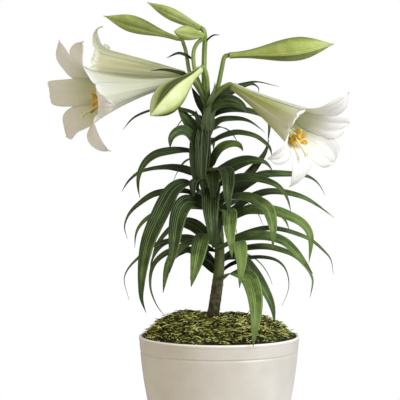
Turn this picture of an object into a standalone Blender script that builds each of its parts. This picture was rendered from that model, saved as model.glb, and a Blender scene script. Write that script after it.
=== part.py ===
"""A trumpet lily in a round pot: pot, soil, moss, bulb, leafy stem, three open blooms and five buds.

Lengths are metres and +Z is up. The origin is the middle of the pot's underside.
Plant parts are placed by their course in the front view, in steps of VIEW_STEP to the right and down,
with a depth in millimetres behind the pot's axis (negative is nearer). See seen().
"""

import math
import random
from typing import NamedTuple

import bmesh
import bpy
import numpy as np
from mathutils import Matrix, Vector

MM = 0.001
GAP = 0.3 * MM

# Front view: the eye's place, the length of one step and the row and column straight ahead of the eye
EYE_X = -19.6 * MM
EYE_Z = 289.0 * MM
EYE_DISTANCE = 1120.0 * MM
VIEW_STEP = 1.03125 * MM
VIEW_MIDDLE = 200.0

# Pot
POT_HEIGHT = 150.0 * MM
RIM_RADIUS = 82.5 * MM
LIP_RADIUS = 79.2 * MM
GROOVE_HEIGHT = 134.5 * MM
GROOVE_DEPTH = 0.9 * MM
LIP_ROUND = 1.2 * MM
WALL = 3.4 * MM
# Outer wall as heights and radii in millimetres: nearly straight high up, rounding in toward the foot
POT_WALL = ((0.0, 56.0), (20.0, 60.6), (43.0, 65.4), (65.0, 70.1), (86.0, 74.2), (103.0, 77.3),
            (118.0, 79.4), (132.0, 80.9), (150.0, 82.5))
INNER_HEIGHTS = (50.0, 95.0, 128.0)
OUTER_HEIGHTS = (118.0, 103.0, 86.0, 60.0, 30.0, 3.0)
FOOT_ROUND = 2.0 * MM
FLOOR_ROUND = 3.0 * MM
FLOOR_THICKNESS = 4.0 * MM
POT_STEPS = 32
DRAIN_COUNT = 6
DRAIN_RADIUS = 4.0 * MM
DRAIN_CIRCLE = 34.0 * MM
DRAIN_SIDES = 8

# Soil and moss
SOIL_EDGE_HEIGHT = 133.0 * MM
SOIL_DOME = 17.0 * MM
SOIL_STEPS = 16
MOSS_EDGE_HEIGHT = 147.5 * MM
MOSS_DOME = 21.0 * MM
MOSS_RINGS = 10
MOSS_SPOKES = 30
MOSS_UNDER_RINGS = 4
MOSS_LUMP = 2.6 * MM
MOSS_REST = 0.8 * MM
# Two humps beside the stalk and a dip round it: middle x and y, spread in x and y, height, in millimetres
MOSS_HUMPS = ((-40.0, 12.0, 26.0, 30.0, 7.0), (38.0, 10.0, 30.0, 28.0, 3.0), (-6.4, 0.0, 9.0, 14.0, -4.5))

# Stalk: columns, rows and radii in millimetres from its foot in the soil to its top
STALK_FOOT_X = -6.4 * MM
STALK_FOOT_Z = 78.0 * MM
STALK_HOLE = 7.3 * MM
STALK_COURSE = (
    (212.8, 319.0, 0, 6.2), (214.2, 307.0, 0, 6.2), (216.0, 295.0, 0, 6.1), (217.9, 281.0, 0, 5.9),
    (219.2, 268.0, 0, 5.5), (219.6, 250.0, 0, 5.1), (218.6, 230.0, 0, 4.8), (215.8, 208.0, 0, 4.7),
    (211.5, 184.0, 0, 4.5), (208.0, 160.0, 0, 4.3), (206.0, 136.0, 0, 4.1), (206.0, 118.0, 0, 3.9),
    (207.0, 103.0, 0, 3.5),
)

# Bulb
BULB_RADIUS = 22.0 * MM
BULB_HEIGHT = 38.0 * MM
BULB_SCALES = 8
BULB_RINGS = 7
BULB_SIDES = 16
BULB_CLEAR = 0.8 * MM

# Blades
BLADE_THICKNESS = 1.5 * MM
BLADE_TIP_THICKNESS = 0.8 * MM
BLADE_TIP_WIDTH = 1.1 * MM
BLADE_ROOT_SHARE = 0.5
BLADE_CHANNEL = 0.16
BLADE_DROP = 0.26
BLADE_PIECE = 15.0 * MM
LEAF_BREADTH = 1.15
LEAF_TILT = 1.2
BRACT_ROLLS = (70.0, 70.0)

# Leaves behind the stalk, placed by rule
BACK_LEAF_COUNT = 14
BACK_LEAF_LOW_ROW = 262.0
BACK_LEAF_HIGH_ROW = 124.0
BACK_LEAF_LENGTH = (108.0, 74.0)
BACK_LEAF_LENGTH_SPREAD = (-16.0, 12.0)
BACK_LEAF_WIDTH = (9.0, 12.5)
BACK_LEAF_ROLLS = (12.0, 18.0)
BACK_LEAF_FAN = (46.0, 134.0)
BACK_LEAF_RISE = 46.0
BACK_LEAF_RISE_SPREAD = 16.0
BACK_LEAF_FALL = (-70.0, -58.0)
BACK_LEAF_FALL_SPREAD = 14.0
GOLDEN_ANGLE = math.radians(137.508)
SEED = 7

# Tepals and stamens
TEPAL_THICKNESS = 1.0 * MM
TEPAL_COLUMNS = 4
TEPAL_KEEL = 0.035
TEPAL_STEP = 0.9 * MM
TEPAL_WAVE = 0.6 * MM
TEPAL_END_WIDTH = 1.4 * MM
TUBE_BASE_RADIUS = 3.3 * MM
TUBE_ROWS = 5
FREE_ROWS = 5
PISTIL_FOOT_RADIUS = 2.4 * MM
STYLE_RADIUS = 1.1 * MM
STIGMA_LOBES = 3
STIGMA_REACH = 2.6 * MM
STAMEN_COUNT = 6
STAMEN_RING = 2.1 * MM
FILAMENT_RADIUS = 0.7 * MM
FILAMENT_SWEEP = 0.5
ANTHER_LENGTH = 13.0 * MM
ANTHER_RADIUS = 2.1 * MM
ANTHER_TIP_RADIUS = 0.6 * MM

# Flower stalks and buds
STALKLET_END = 3.5 * MM
BUD_ROWS = 8
BUD_SIDES = 12
BUD_KEEL = 0.07
BUD_TIP_SHARE = 0.07


class Leaf(NamedTuple):
    """One leaf: row of its root on the stalk, depth of its tip, width, two rolls and its course."""

    root_row: float
    tip_depth: float
    width: float
    roll_root: float
    roll_tip: float
    course: tuple


# Leaves that show from the front: root row, tip depth mm, width mm, roll at root and at tip, course
LEAVES = (
    # left side, from the top down
    Leaf(156, -12, 11, 26, 28, ((190, 150), (175, 149.5), (158, 152.5), (147.5, 159), (141, 168), (138, 178),
                                (138, 188), (139.8, 198))),
    Leaf(178, 22, 11, 32, 25, ((191.5, 171), (183, 168), (170, 166), (157, 167), (147, 169), (138.5, 172),
                               (131, 178), (126, 184), (121.5, 192))),
    Leaf(200, -44, 17, 24, 18, ((204, 195), (198, 186.5), (190, 181.5), (181, 182.5), (172, 189.5),
                                (165.5, 200.5), (159.5, 213), (153, 227), (147.5, 241), (144, 256),
                                (142, 270), (141, 285), (141.3, 299), (146, 313))),
    Leaf(203, 14, 9, 30, 25, ((190, 191.5), (177, 190), (165, 191), (155, 193), (147, 197), (139, 203),
                              (131.5, 210), (126.5, 218), (124.3, 228), (127.6, 239))),
    Leaf(212, 46, 9, 32, 30, ((203, 207), (190, 206), (172, 206.5), (156, 212.5), (145.5, 219), (138.5, 227),
                              (135.3, 236), (134.8, 248))),
    Leaf(212, -58, 16, 45, 5, ((204, 204), (196, 200.5), (188, 200.5), (182, 206), (178, 216), (175.5, 229),
                               (174, 242), (172, 257), (169.5, 273))),
    Leaf(246, -42, 11, 20, 15, ((200, 239), (188, 242), (175.5, 251), (169, 262), (165.5, 275), (163, 293))),
    Leaf(244, -60, 17, 0, 5, ((210, 232), (203, 233), (199.5, 245), (196, 264), (191, 287))),
    Leaf(264, 30, 6, 25, 20, ((200, 246), (170, 240), (150, 247), (137.5, 258), (127.6, 269), (124, 281),
                              (129, 300))),
    Leaf(270, 9, 8, 28, 25, ((211, 261), (200, 253), (190, 249), (180, 248.5), (169, 251), (160.5, 256),
                             (154, 263), (150.5, 272), (149.7, 283), (151.3, 293), (157, 306), (166.5, 318))),
    Leaf(238, 40, 14, 34, 30, ((208, 236), (201, 230), (193, 224), (182, 221), (172, 226), (163, 235),
                               (156, 246), (151, 262))),
    Leaf(252, 24, 10, 32, 30, ((208, 248), (198, 241.5), (188, 238), (178, 238), (165, 242), (157, 250),
                               (151.5, 261), (150, 275))),
    Leaf(268, 18, 9, 30, 30, ((214, 262), (205, 253.5), (194, 249), (183, 250.5), (174, 260))),
    Leaf(276, 14, 9, 30, 30, ((213, 270), (205, 261), (197, 254), (188, 251), (179, 256))),
    # right side, from the top down
    Leaf(150, 4, 11, 26, 32, ((211, 142), (220, 136), (230, 132.5), (240, 131.5), (255, 135), (264, 141),
                              (270, 147.5), (272, 156))),
    Leaf(168, -26, 13, 62, 40, ((212, 160), (215, 153), (221, 146.5), (229, 143.5), (236, 143.5),
                                (240.5, 146), (243, 151))),
    Leaf(182, 18, 14, 46, 34, ((216, 175), (226, 168.5), (238, 162), (250, 159), (262, 160.5), (268.5, 164.5),
                               (273, 172))),
    Leaf(200, 28, 10, 38, 35, ((226, 193), (239, 184), (254, 167.5), (265, 152), (269, 140))),
    Leaf(206, 24, 11, 32, 28, ((220, 201), (235, 192), (250, 181), (264, 173.5), (287, 173), (305, 175),
                               (315, 180), (321, 187), (325, 195))),
    Leaf(192, -8, 11, 34, 30, ((222, 182), (234, 177.5), (245, 176), (262, 178.5), (276, 184), (284, 191.5),
                               (288.5, 201), (291, 212))),
    Leaf(222, 16, 10, 30, 26, ((226, 213), (235, 207.5), (250, 197), (267, 191), (285, 191.5), (303, 196.5),
                               (317, 204.5), (334, 217.5))),
    Leaf(208, -52, 15, 22, 12, ((226, 198), (236, 195), (245, 195), (256, 199), (267, 206.5), (272, 219),
                                (273.5, 234), (272.5, 249))),
    Leaf(226, -16, 13, 40, 30, ((228, 218.5), (236, 214), (250, 208.5), (274, 210), (289, 215), (302, 222),
                                (309.5, 231.5), (311.3, 243), (309, 263))),
    Leaf(220, 26, 9, 30, 30, ((226, 217), (240, 211.5), (262, 208.5), (278, 213), (286, 221), (289.5, 231))),
    Leaf(250, 12, 8, 26, 22, ((228, 241.5), (237.5, 235.5), (262, 228), (280, 228.5), (298, 233.5),
                              (312, 240), (323, 249.5), (331, 259.5), (333.5, 274.5))),
    Leaf(246, -24, 13, 36, 30, ((228, 240.5), (237.5, 237), (254, 234.5), (270, 235.5), (284, 240.5),
                                (293, 248), (302, 258.5), (313, 274))),
    Leaf(258, 5, 10, 30, 26, ((232, 250.5), (247, 247), (262, 245.5), (276, 247.5), (294, 254.5), (306, 266),
                              (311.5, 275), (313, 283), (310, 298))),
    Leaf(276, 30, 6, 26, 22, ((224, 269), (230, 264.5), (238, 261), (248, 257.5), (262, 256.5), (276, 259.5),
                              (285, 267.5), (289, 280), (288, 292), (282, 306))),
    Leaf(262, -14, 14, 36, 34, ((232, 255), (241.5, 257), (255, 273), (264, 287), (270.5, 300), (273.5, 311),
                                (274.5, 323))),
    Leaf(280, -82, 15.5, 20, 16, ((224, 274.5), (231, 270.5), (237.5, 270.5), (248, 276), (254, 291),
                                  (256, 309), (255, 327), (253, 347))),
    # leaves that hang toward the front
    Leaf(132, -22, 12, 0, 0, ((203, 124), (197, 130), (195, 150), (195.5, 172), (198, 196))),
    Leaf(134, -26, 12, 0, 0, ((206, 125), (203, 131), (201.5, 150), (201.5, 172), (204, 198))),
    Leaf(138, -20, 9, 0, 0, ((207, 128), (206, 136), (206, 150), (205.5, 166), (204, 184))),
    Leaf(190, -30, 14, 0, 0, ((204, 179), (197, 178), (192.5, 183), (194, 198))),
    Leaf(178, -32, 14, 0, 0, ((210, 167), (212, 170), (213.5, 182), (213, 202))),
    Leaf(182, -50, 14, 8, 5, ((214, 168), (222, 166.5), (227, 170), (228.5, 180), (228, 195), (229.5, 214))),
    Leaf(198, -44, 15.5, 0, 0, ((213, 186), (211, 191), (210.5, 208), (212, 228), (213, 249))),
    Leaf(224, -34, 8, 0, 0, ((222, 212), (220, 222), (217, 236), (215, 250))),
    Leaf(216, -62, 13.5, 0, 0, ((225, 208), (229.5, 211), (230, 228), (231, 242), (232, 258))),
    Leaf(248, -66, 13.5, 0, 5, ((232, 241), (239, 241), (241.5, 258), (241, 272), (239.5, 288))),
    # top of the stalk
    Leaf(148, -20, 12, 50, 40, ((196, 141), (190, 132.5), (183, 129.5), (176, 132), (171, 138), (170, 148))),
    Leaf(136, 4, 12, 60, 60, ((194, 127), (187, 119), (181.5, 111), (177.5, 105))),
    Leaf(122, 10, 8, 35, 35, ((205, 112), (200.5, 104), (196, 95.5), (191.5, 87))),
    Leaf(126, 12, 7, 28, 25, ((196, 114), (184, 109), (168, 106.5), (150, 110), (133.5, 117.5),
                              (122.5, 130))),
    Leaf(114, 10, 8, 35, 20, ((211, 102), (221, 93), (234, 86.5), (246, 83), (258, 81.5), (279, 86.5))),
    Leaf(118, 26, 8, 30, 30, ((214, 106), (226, 95), (240, 86.5), (252, 83.5), (258.6, 88), (258.5, 94.5))),
    Leaf(112, 2, 11, 42, 32, ((212, 103), (220, 98.5), (230, 97), (238, 100), (244, 105), (248, 112))),
    Leaf(124, -8, 10, 55, 40, ((209, 116), (212, 109), (218, 104), (225, 102.5), (234, 103.5), (241, 107),
                               (246.5, 112))),
    Leaf(126, 12, 11, 36, 30, ((211, 116), (219, 110.5), (230, 108), (242, 108.5), (253, 111), (262.5, 115),
                               (269.5, 123), (268, 142))),
    Leaf(136, 24, 8, 36, 30, ((211, 128), (218, 120.5), (226, 118), (240, 118), (250, 121), (258, 126.5),
                              (265.5, 133))),
    Leaf(108, -10, 12, 20, 20, ((210.5, 99), (213.5, 91), (215, 82))),
    Leaf(136, -14, 10, 5, 5, ((203, 127), (199, 121), (197, 115), (196, 110))),
    Leaf(138, -16, 10, 5, 5, ((206, 128), (206.5, 120), (208, 112), (211, 104))),
    Leaf(140, -12, 10, 5, 5, ((209, 130), (210.5, 122), (213, 114), (217, 107))),
)


class Stalklet(NamedTuple):
    """One flower stalk: radius at its foot, radius at its end and course of column, row and depth."""

    foot_radius: float
    end_radius: float
    course: tuple


# Flower stalks, by the flower or bud that they carry
STALKLETS = {
    "bloom_left": Stalklet(2.6, 2.5, ((207, 106, 0), (204, 96, -3), (199, 86, -6), (190, 79.5, -10))),
    "bloom_back": Stalklet(2.6, 2.5, ((206, 106, 0), (201, 93, 3), (195, 82, 4), (186, 75.5, 5))),
    "bloom_right": Stalklet(2.7, 2.6, ((207, 108, 0), (212, 99, -4), (221, 89, -7), (232, 86, -12))),
    "bud_high": Stalklet(2.7, 2.6, ((206, 106, 0), (204.5, 90, 3), (204, 70, 4), (204.5, 50, 3),
                                       (205, 39, 1), (204, 32, -1), (200, 28, -2))),
    "bud_left": Stalklet(2.2, 1.9, ((206, 104, 0), (200, 92, 1), (192.8, 80, -2), (189, 70, -2),
                                       (186, 52, 0), (183.4, 43.5, 1), (179, 39, 2))),
    "bud_small": Stalklet(2.2, 2.0, ((206, 104, 0), (201, 88, -4), (195.8, 74, -6), (193.6, 62, -7),
                                        (193.8, 51, -7), (197.5, 43, -7), (203, 38.5, -5.5),
                                        (202.5, 35.5, -9))),
    "bud_front": Stalklet(2.7, 2.6, ((208, 106, 0), (207.5, 92, -7), (206.5, 78, -13), (204, 68.5, -16),
                                        (200, 69.5, -20))),
    "bud_right": Stalklet(2.6, 2.3, ((208, 106, 0), (213, 98, 2), (218, 86, 2), (221.5, 70, 0),
                                        (223.5, 60, -2), (229, 55.5, -3))),
}

# Small dry bracts on the flower stalks: width mm and course of column, row and depth
BRACTS = (
    (4.5, ((199, 85, -3), (188, 76, -2.6), (177, 71.8, -2), (164, 69.5, -3), (150.5, 70.7, -4))),
    (3.5, ((193, 60, -5), (187, 55.5, -5), (178, 53, -6), (166.5, 58, -8))),
    (2.6, ((204.3, 44, 2), (209, 38, -3), (214, 35, -6), (220, 35, -8))),
)


class Tepal(NamedTuple):
    """One tepal: turn about the bloom's axis, free length, half width, and turn of its end."""

    turn: float
    free_length: float
    half_width: float
    end_turn: float


class Bloom(NamedTuple):
    """One bloom: its tube's start, its throat, how late the tube widens, its stamens and its tepals."""

    base: tuple
    throat: tuple
    throat_radius: float
    widening: float
    stamen_length: float
    stamen_sweep: float
    tepals: tuple


# Blooms: points are column, row and depth; turns in degrees, lengths in millimetres
BLOOMS = {
    "bloom_left": Bloom((190, 79.5, -10), (94.5, 95, -56), 25.0, 2.0, 121.0, 18.0, (
        Tepal(20, 46, 16.0, 118), Tepal(78, 61, 14.0, 128), Tepal(127, 43, 16.0, 110),
        Tepal(213, 54, 14.0, 150), Tepal(255, 38, 13.5, 168), Tepal(326, 46, 19.0, 126),
    )),
    "bloom_back": Bloom((186, 75.5, 5), (107, 63.5, 36), 14.3, 0.92, 84.0, 3.6, (
        Tepal(-22, 36, 7.0, 172), Tepal(50, 24, 10.0, 122), Tepal(110, 23, 9.5, 125),
        Tepal(175, 18, 9.0, 150), Tepal(232, 16, 8.5, 150), Tepal(285, 15, 9.0, 150),
    )),
    "bloom_right": Bloom((232, 86, -12), (297, 126, -64), 19.5, 1.35, 115.0, 20.0, (
        Tepal(26, 46, 14.5, 108), Tepal(70, 46, 14.0, 108), Tepal(116, 53, 16.5, 118),
        Tepal(174, 52, 14.5, 134), Tepal(234, 42, 15.0, 138), Tepal(300, 20, 12.0, 95),
    )),
}


class Bud(NamedTuple):
    """One bud: its base and tip, its greatest radius and where along it that lies, and its sag.

    taper and rise are the powers of its fall to the tip and of its rise from the foot, foot is the girth
    at its stalk as a share of the greatest, and keel_turn turns its keels about its axis.
    """

    base: tuple
    tip: tuple
    radius: float
    swell: float
    sag: float
    taper: float
    foot: float = 0.28
    rise: float = 2.6
    keel_turn: float = 0.0


# Buds: points are column, row and depth; radii and sag in millimetres
BUDS = {
    "bud_high": Bud((200, 28, -2), (146.7, 2, -16), 6.2, 0.52, -0.3, 1.1, foot=0.48, rise=1.7),
    "bud_left": Bud((179, 39, 2), (103.5, 15.8, 8), 8.7, 0.62, 0.3, 1.25),
    "bud_small": Bud((202.5, 35.5, -9), (174, 31.5, -42), 7.2, 0.56, 0.0, 0.9, foot=0.42, rise=1.6),
    "bud_front": Bud((200, 69.5, -20), (150.5, 115.5, -76), 14.2, 0.64, 0.9, 0.87, keel_turn=68.0),
    "bud_right": Bud((229, 55.5, -3), (334, 44, -14), 11.9, 0.64, -1.5, 1.1),
}

# Finishes: colour, roughness, metallic
CREAM_GLAZE = ("cream_glaze", (0.78, 0.73, 0.64, 1.0), 0.42)
DARK_SOIL = ("dark_soil", (0.045, 0.03, 0.02, 1.0), 0.95)
MOSS_GREEN = ("moss_green", (0.11, 0.12, 0.03, 1.0), 0.95)
BULB_CREAM = ("bulb_cream", (0.62, 0.55, 0.36, 1.0), 0.7)
LEAF_GREEN = ("leaf_green", (0.05, 0.085, 0.025, 1.0), 0.5)
TEPAL_WHITE = ("tepal_white", (0.82, 0.81, 0.76, 1.0), 0.55)
TEPAL_GREENISH = ("tepal_greenish", (0.50, 0.54, 0.33, 1.0), 0.55)
ANTHER_GOLD = ("anther_gold", (0.62, 0.36, 0.05, 1.0), 0.8)
BUD_GREEN = ("bud_green", (0.36, 0.43, 0.15, 1.0), 0.5)
BUD_PALE = ("bud_pale", (0.60, 0.66, 0.36, 1.0), 0.5)


def clear_scene():
    """Take away every object that the file opened with."""
    for item in list(bpy.data.objects):
        bpy.data.objects.remove(item, do_unlink=True)


def collection(name):
    """Make a named collection in the scene."""
    group = bpy.data.collections.new(name)
    bpy.context.scene.collection.children.link(group)
    return group


def finish(obj, surface):
    """Give an object its own surface finish."""
    name, colour, roughness = surface
    material = bpy.data.materials.get(name) or bpy.data.materials.new(name)
    material.use_nodes = True
    shader = material.node_tree.nodes["Principled BSDF"]
    shader.inputs["Base Color"].default_value = colour
    shader.inputs["Roughness"].default_value = roughness
    shader.inputs["Metallic"].default_value = 0.0
    material.diffuse_color = colour
    obj.data.materials.clear()
    obj.data.materials.append(material)


def smooth_shade(obj):
    """Shade an object's faces smooth."""
    for face in obj.data.polygons:
        face.use_smooth = True


def mesh_object(name, points, faces, group):
    """Make an object from points and faces, with its faces turned outward."""
    mesh = bpy.data.meshes.new(name)
    mesh.from_pydata([tuple(point) for point in points], [], faces)
    work = bmesh.new()
    work.from_mesh(mesh)
    bmesh.ops.recalc_face_normals(work, faces=work.faces[:])
    work.to_mesh(mesh)
    work.free()
    obj = bpy.data.objects.new(name, mesh)
    group.objects.link(obj)
    return obj


def seen(column, row, depth_mm):
    """Point that shows at a column and row of the front view, at a depth behind the pot's axis."""
    depth = depth_mm * MM
    spread = VIEW_STEP * (EYE_DISTANCE + depth) / EYE_DISTANCE
    x = EYE_X + (column - VIEW_MIDDLE) * spread
    z = EYE_Z - (row - VIEW_MIDDLE) * spread
    return np.array((x, depth, z))


def through(points, count):
    """Smooth line through points (Catmull-Rom), as count + 1 points at even steps of length."""
    points = np.asarray(points, float)
    padded = np.vstack((2 * points[0] - points[1], points, 2 * points[-1] - points[-2]))
    shares = np.linspace(0.0, 1.0, 9)[:, None]
    dense = []
    for a, b, c, d in zip(padded, padded[1:], padded[2:], padded[3:]):
        part = 0.5 * (2 * b + (c - a) * shares + (2 * a - 5 * b + 4 * c - d) * shares**2
                      + (3 * b - 3 * c + d - a) * shares**3)
        dense.append(part[:-1])
    dense = np.vstack(dense + [points[-1:]])
    steps = np.linalg.norm(np.diff(dense[:, :3], axis=0), axis=1)
    run = np.concatenate(([0.0], np.cumsum(steps)))
    even = np.linspace(0.0, run[-1], count + 1)
    return np.column_stack([np.interp(even, run, dense[:, axis]) for axis in range(points.shape[1])])


def evaluated_mesh(obj):
    """Mesh of an object with its modifiers applied."""
    bpy.context.view_layer.update()
    depsgraph = bpy.context.evaluated_depsgraph_get()
    return bpy.data.meshes.new_from_object(obj.evaluated_get(depsgraph), depsgraph=depsgraph)


def bake(obj):
    """Put an object's modifiers into its mesh."""
    mesh = evaluated_mesh(obj)
    mesh.name = obj.name
    obj.modifiers.clear()
    obj.data = mesh


def tube(name, points, radii, group, resolution=1):
    """Round bar along points, with a radius at each and closed ends, as a mesh."""
    curve = bpy.data.curves.new(name, "CURVE")
    curve.dimensions = "3D"
    curve.bevel_depth = 1.0
    curve.bevel_resolution = resolution
    curve.use_fill_caps = True
    spline = curve.splines.new("POLY")
    spline.points.add(len(points) - 1)
    for place, point, radius in zip(spline.points, points, radii):
        place.co = (*point, 1.0)
        place.radius = radius
    bar = bpy.data.objects.new(name + "_course", curve)
    group.objects.link(bar)
    mesh = evaluated_mesh(bar)
    bpy.data.objects.remove(bar, do_unlink=True)
    work = bmesh.new()
    work.from_mesh(mesh)
    bmesh.ops.remove_doubles(work, verts=work.verts[:], dist=0.001 * MM)
    bmesh.ops.recalc_face_normals(work, faces=work.faces[:])
    work.to_mesh(mesh)
    work.free()
    obj = bpy.data.objects.new(name, mesh)
    group.objects.link(obj)
    return obj


def boolean(obj, operation, operand, solver="EXACT"):
    """Join or cut an object with another object or with all of a collection."""
    step = obj.modifiers.new(operation.lower(), "BOOLEAN")
    step.operation = operation
    step.solver = solver
    if isinstance(operand, bpy.types.Collection):
        step.operand_type = "COLLECTION"
        step.collection = operand
    else:
        step.object = operand
    bake(obj)


def keep_main_body(obj):
    """Weld an object's mesh and keep only its largest connected body."""
    work = bmesh.new()
    work.from_mesh(obj.data)
    bmesh.ops.remove_doubles(work, verts=work.verts[:], dist=0.002 * MM)
    bmesh.ops.dissolve_degenerate(work, edges=work.edges[:], dist=0.002 * MM)
    unseen = set(work.verts)
    bodies = []
    while unseen:
        start = unseen.pop()
        body = {start}
        front = [start]
        while front:
            near = [edge.other_vert(vert) for vert in front for edge in vert.link_edges]
            front = [vert for vert in set(near) if vert in unseen]
            unseen.difference_update(front)
            body.update(front)
        bodies.append(body)
    bodies.sort(key=len)
    for body in bodies[:-1]:
        bmesh.ops.delete(work, geom=list(body), context="VERTS")
    bmesh.ops.triangulate(work, faces=work.faces[:])
    work.to_mesh(obj.data)
    work.free()


def join_repeats(obj, repeats, solver="EXACT"):
    """Fuse a collection's objects to an object and take the collection's objects away."""
    boolean(obj, "UNION", repeats, solver)
    for item in list(repeats.objects):
        bpy.data.objects.remove(item, do_unlink=True)
    bpy.data.collections.remove(repeats)
    keep_main_body(obj)


def turned(name, outline, group, steps):
    """Turn an outline of radius and height, from the top down, about the Z axis."""
    mesh = bpy.data.meshes.new(name)
    points = [(radius, 0.0, height) for radius, height in outline]
    mesh.from_pydata(points, [(i, i + 1) for i in range(len(points) - 1)], [])
    obj = bpy.data.objects.new(name, mesh)
    group.objects.link(obj)
    screw = obj.modifiers.new("turn", "SCREW")
    screw.steps = steps
    screw.render_steps = steps
    screw.use_merge_vertices = True
    screw.merge_threshold = 0.01 * MM
    bake(obj)
    work = bmesh.new()
    work.from_mesh(obj.data)
    bmesh.ops.recalc_face_normals(work, faces=work.faces[:])
    work.to_mesh(obj.data)
    work.free()
    return obj


def pot_radius(height):
    """Outer radius of the pot's wall at a height."""
    heights, radii = np.transpose(POT_WALL) * MM
    return float(np.interp(height, heights, radii))


def floor_corner(clear):
    """Two points that round the pot's inside from wall to floor, moved in and up by a clearance."""
    low = FLOOR_THICKNESS + 0.5 * clear
    wall = (pot_radius(FLOOR_THICKNESS) - WALL - clear, low + FLOOR_ROUND)
    floor = (pot_radius(0.0) - WALL - FLOOR_ROUND - clear, low)
    return wall, floor


def build_pot(group, cutters):
    """Round pot with a rolled lip, one fine groove under the rim band and drain holes in its floor."""
    wall, floor = floor_corner(0.0)
    outline = [(0.0, FLOOR_THICKNESS), floor, wall]
    for height in INNER_HEIGHTS:
        outline.append((pot_radius(height * MM) - WALL, height * MM))
    outline += [
        (LIP_RADIUS, POT_HEIGHT - LIP_ROUND),
        (LIP_RADIUS + LIP_ROUND, POT_HEIGHT),
        (RIM_RADIUS - LIP_ROUND, POT_HEIGHT),
        (RIM_RADIUS, POT_HEIGHT - LIP_ROUND),
        (pot_radius(GROOVE_HEIGHT) + 0.2 * MM, GROOVE_HEIGHT + 1.0 * MM),
        (pot_radius(GROOVE_HEIGHT) - GROOVE_DEPTH, GROOVE_HEIGHT),
        (pot_radius(GROOVE_HEIGHT) - 0.3 * MM, GROOVE_HEIGHT - 1.2 * MM),
    ]
    for height in OUTER_HEIGHTS:
        outline.append((pot_radius(height * MM), height * MM))
    outline += [(pot_radius(0.0) - FOOT_ROUND, 0.0), (0.0, 0.0)]
    pot = turned("pot", outline, group, POT_STEPS)
    for index in range(DRAIN_COUNT):
        angle = 2 * math.pi * (index + 0.5) / DRAIN_COUNT
        mesh = bpy.data.meshes.new("drain")
        work = bmesh.new()
        bmesh.ops.create_cone(work, cap_ends=True, segments=DRAIN_SIDES, radius1=DRAIN_RADIUS,
                              radius2=DRAIN_RADIUS, depth=4 * FLOOR_THICKNESS)
        work.to_mesh(mesh)
        work.free()
        drain = bpy.data.objects.new("drain", mesh)
        drain.display_type = "WIRE"
        drain.location = (DRAIN_CIRCLE * math.cos(angle), DRAIN_CIRCLE * math.sin(angle), 0.0)
        cutters.objects.link(drain)
    boolean(pot, "DIFFERENCE", cutters)
    for item in list(cutters.objects):
        bpy.data.objects.remove(item, do_unlink=True)
    smooth_shade(pot)
    finish(pot, CREAM_GLAZE)


def soil_height(radius):
    """Height of the domed soil at a distance from the pot's axis."""
    share = radius / LIP_RADIUS
    return SOIL_EDGE_HEIGHT + SOIL_DOME * (1.0 - share * share)


def bulb_radius(height):
    """Radius of the bulb at a height above its base plate."""
    share = height / BULB_HEIGHT
    return BULB_RADIUS * max(0.0, math.sin(math.pi * (0.16 + 0.84 * share) ** 0.8)) ** 0.7


def build_soil(group, cutters):
    """Domed soil that fills the pot, with one plain hole round the bulb and the stalk's foot."""
    clear = 2 * GAP
    outline = [(0.0, soil_height(0.0))]
    for share in (0.25, 0.5, 0.75):
        outline.append((share * LIP_RADIUS, soil_height(share * LIP_RADIUS)))
    outline.append((pot_radius(SOIL_EDGE_HEIGHT) - WALL - clear, SOIL_EDGE_HEIGHT))
    for height in reversed(INNER_HEIGHTS):
        outline.append((pot_radius(height * MM) - WALL - clear, height * MM))
    outline += [*floor_corner(clear), (0.0, FLOOR_THICKNESS + GAP)]
    soil = turned("soil", outline, group, SOIL_STEPS)
    bulb_base = STALK_FOOT_Z - BULB_HEIGHT
    above = soil_height(0.0) + 2 * BULB_CLEAR
    hole = [(0.0, above), (STALK_HOLE, above), (STALK_HOLE, STALK_FOOT_Z + 2 * BULB_CLEAR)]
    for index in range(BULB_RINGS):
        share = 1.0 - index / (BULB_RINGS - 1)
        radius = max(STALK_HOLE, bulb_radius(share * BULB_HEIGHT)) + 2 * BULB_CLEAR
        hole.append((radius, bulb_base + share * BULB_HEIGHT))
    hole += [(hole[-1][0], bulb_base - GAP), (0.0, bulb_base - GAP)]
    cutter = turned("hole", hole, cutters, BULB_SIDES)
    cutter.display_type = "WIRE"
    cutter.location = (STALK_FOOT_X, 0.0, 0.0)
    boolean(soil, "DIFFERENCE", cutter)
    bpy.data.objects.remove(cutter, do_unlink=True)
    smooth_shade(soil)
    finish(soil, DARK_SOIL)


def moss_height(x, y):
    """Height of the moss: a low dome with humps and small lumps all over."""
    share = np.hypot(x, y) / LIP_RADIUS
    height = MOSS_EDGE_HEIGHT + MOSS_DOME * (1.0 - share**2) ** 0.75
    for hump in MOSS_HUMPS:
        middle_x, middle_y, spread_x, spread_y, rise = (value * MM for value in hump)
        height += rise * np.exp(-(((x - middle_x) / spread_x) ** 2 + ((y - middle_y) / spread_y) ** 2))
    wave = np.sin(x / (4.3 * MM) + 1.7 * np.sin(y / (6.1 * MM))) * np.sin(y / (4.9 * MM) + 1.3)
    fade = np.clip((1.0 - share) * 6.0, 0.0, 1.0)
    return height + MOSS_LUMP * wave * fade


def moss_grid(angles, outer, shares):
    """Places on spokes from the stalk's hole out to a circle, at shares of the way."""
    shares = shares[:, None]
    hole_x = STALK_FOOT_X + STALK_HOLE * np.cos(angles)
    hole_y = STALK_HOLE * np.sin(angles)
    x = hole_x + shares * (outer * np.cos(angles) - hole_x)
    y = hole_y + shares * (outer * np.sin(angles) - hole_y)
    return x, y


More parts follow.
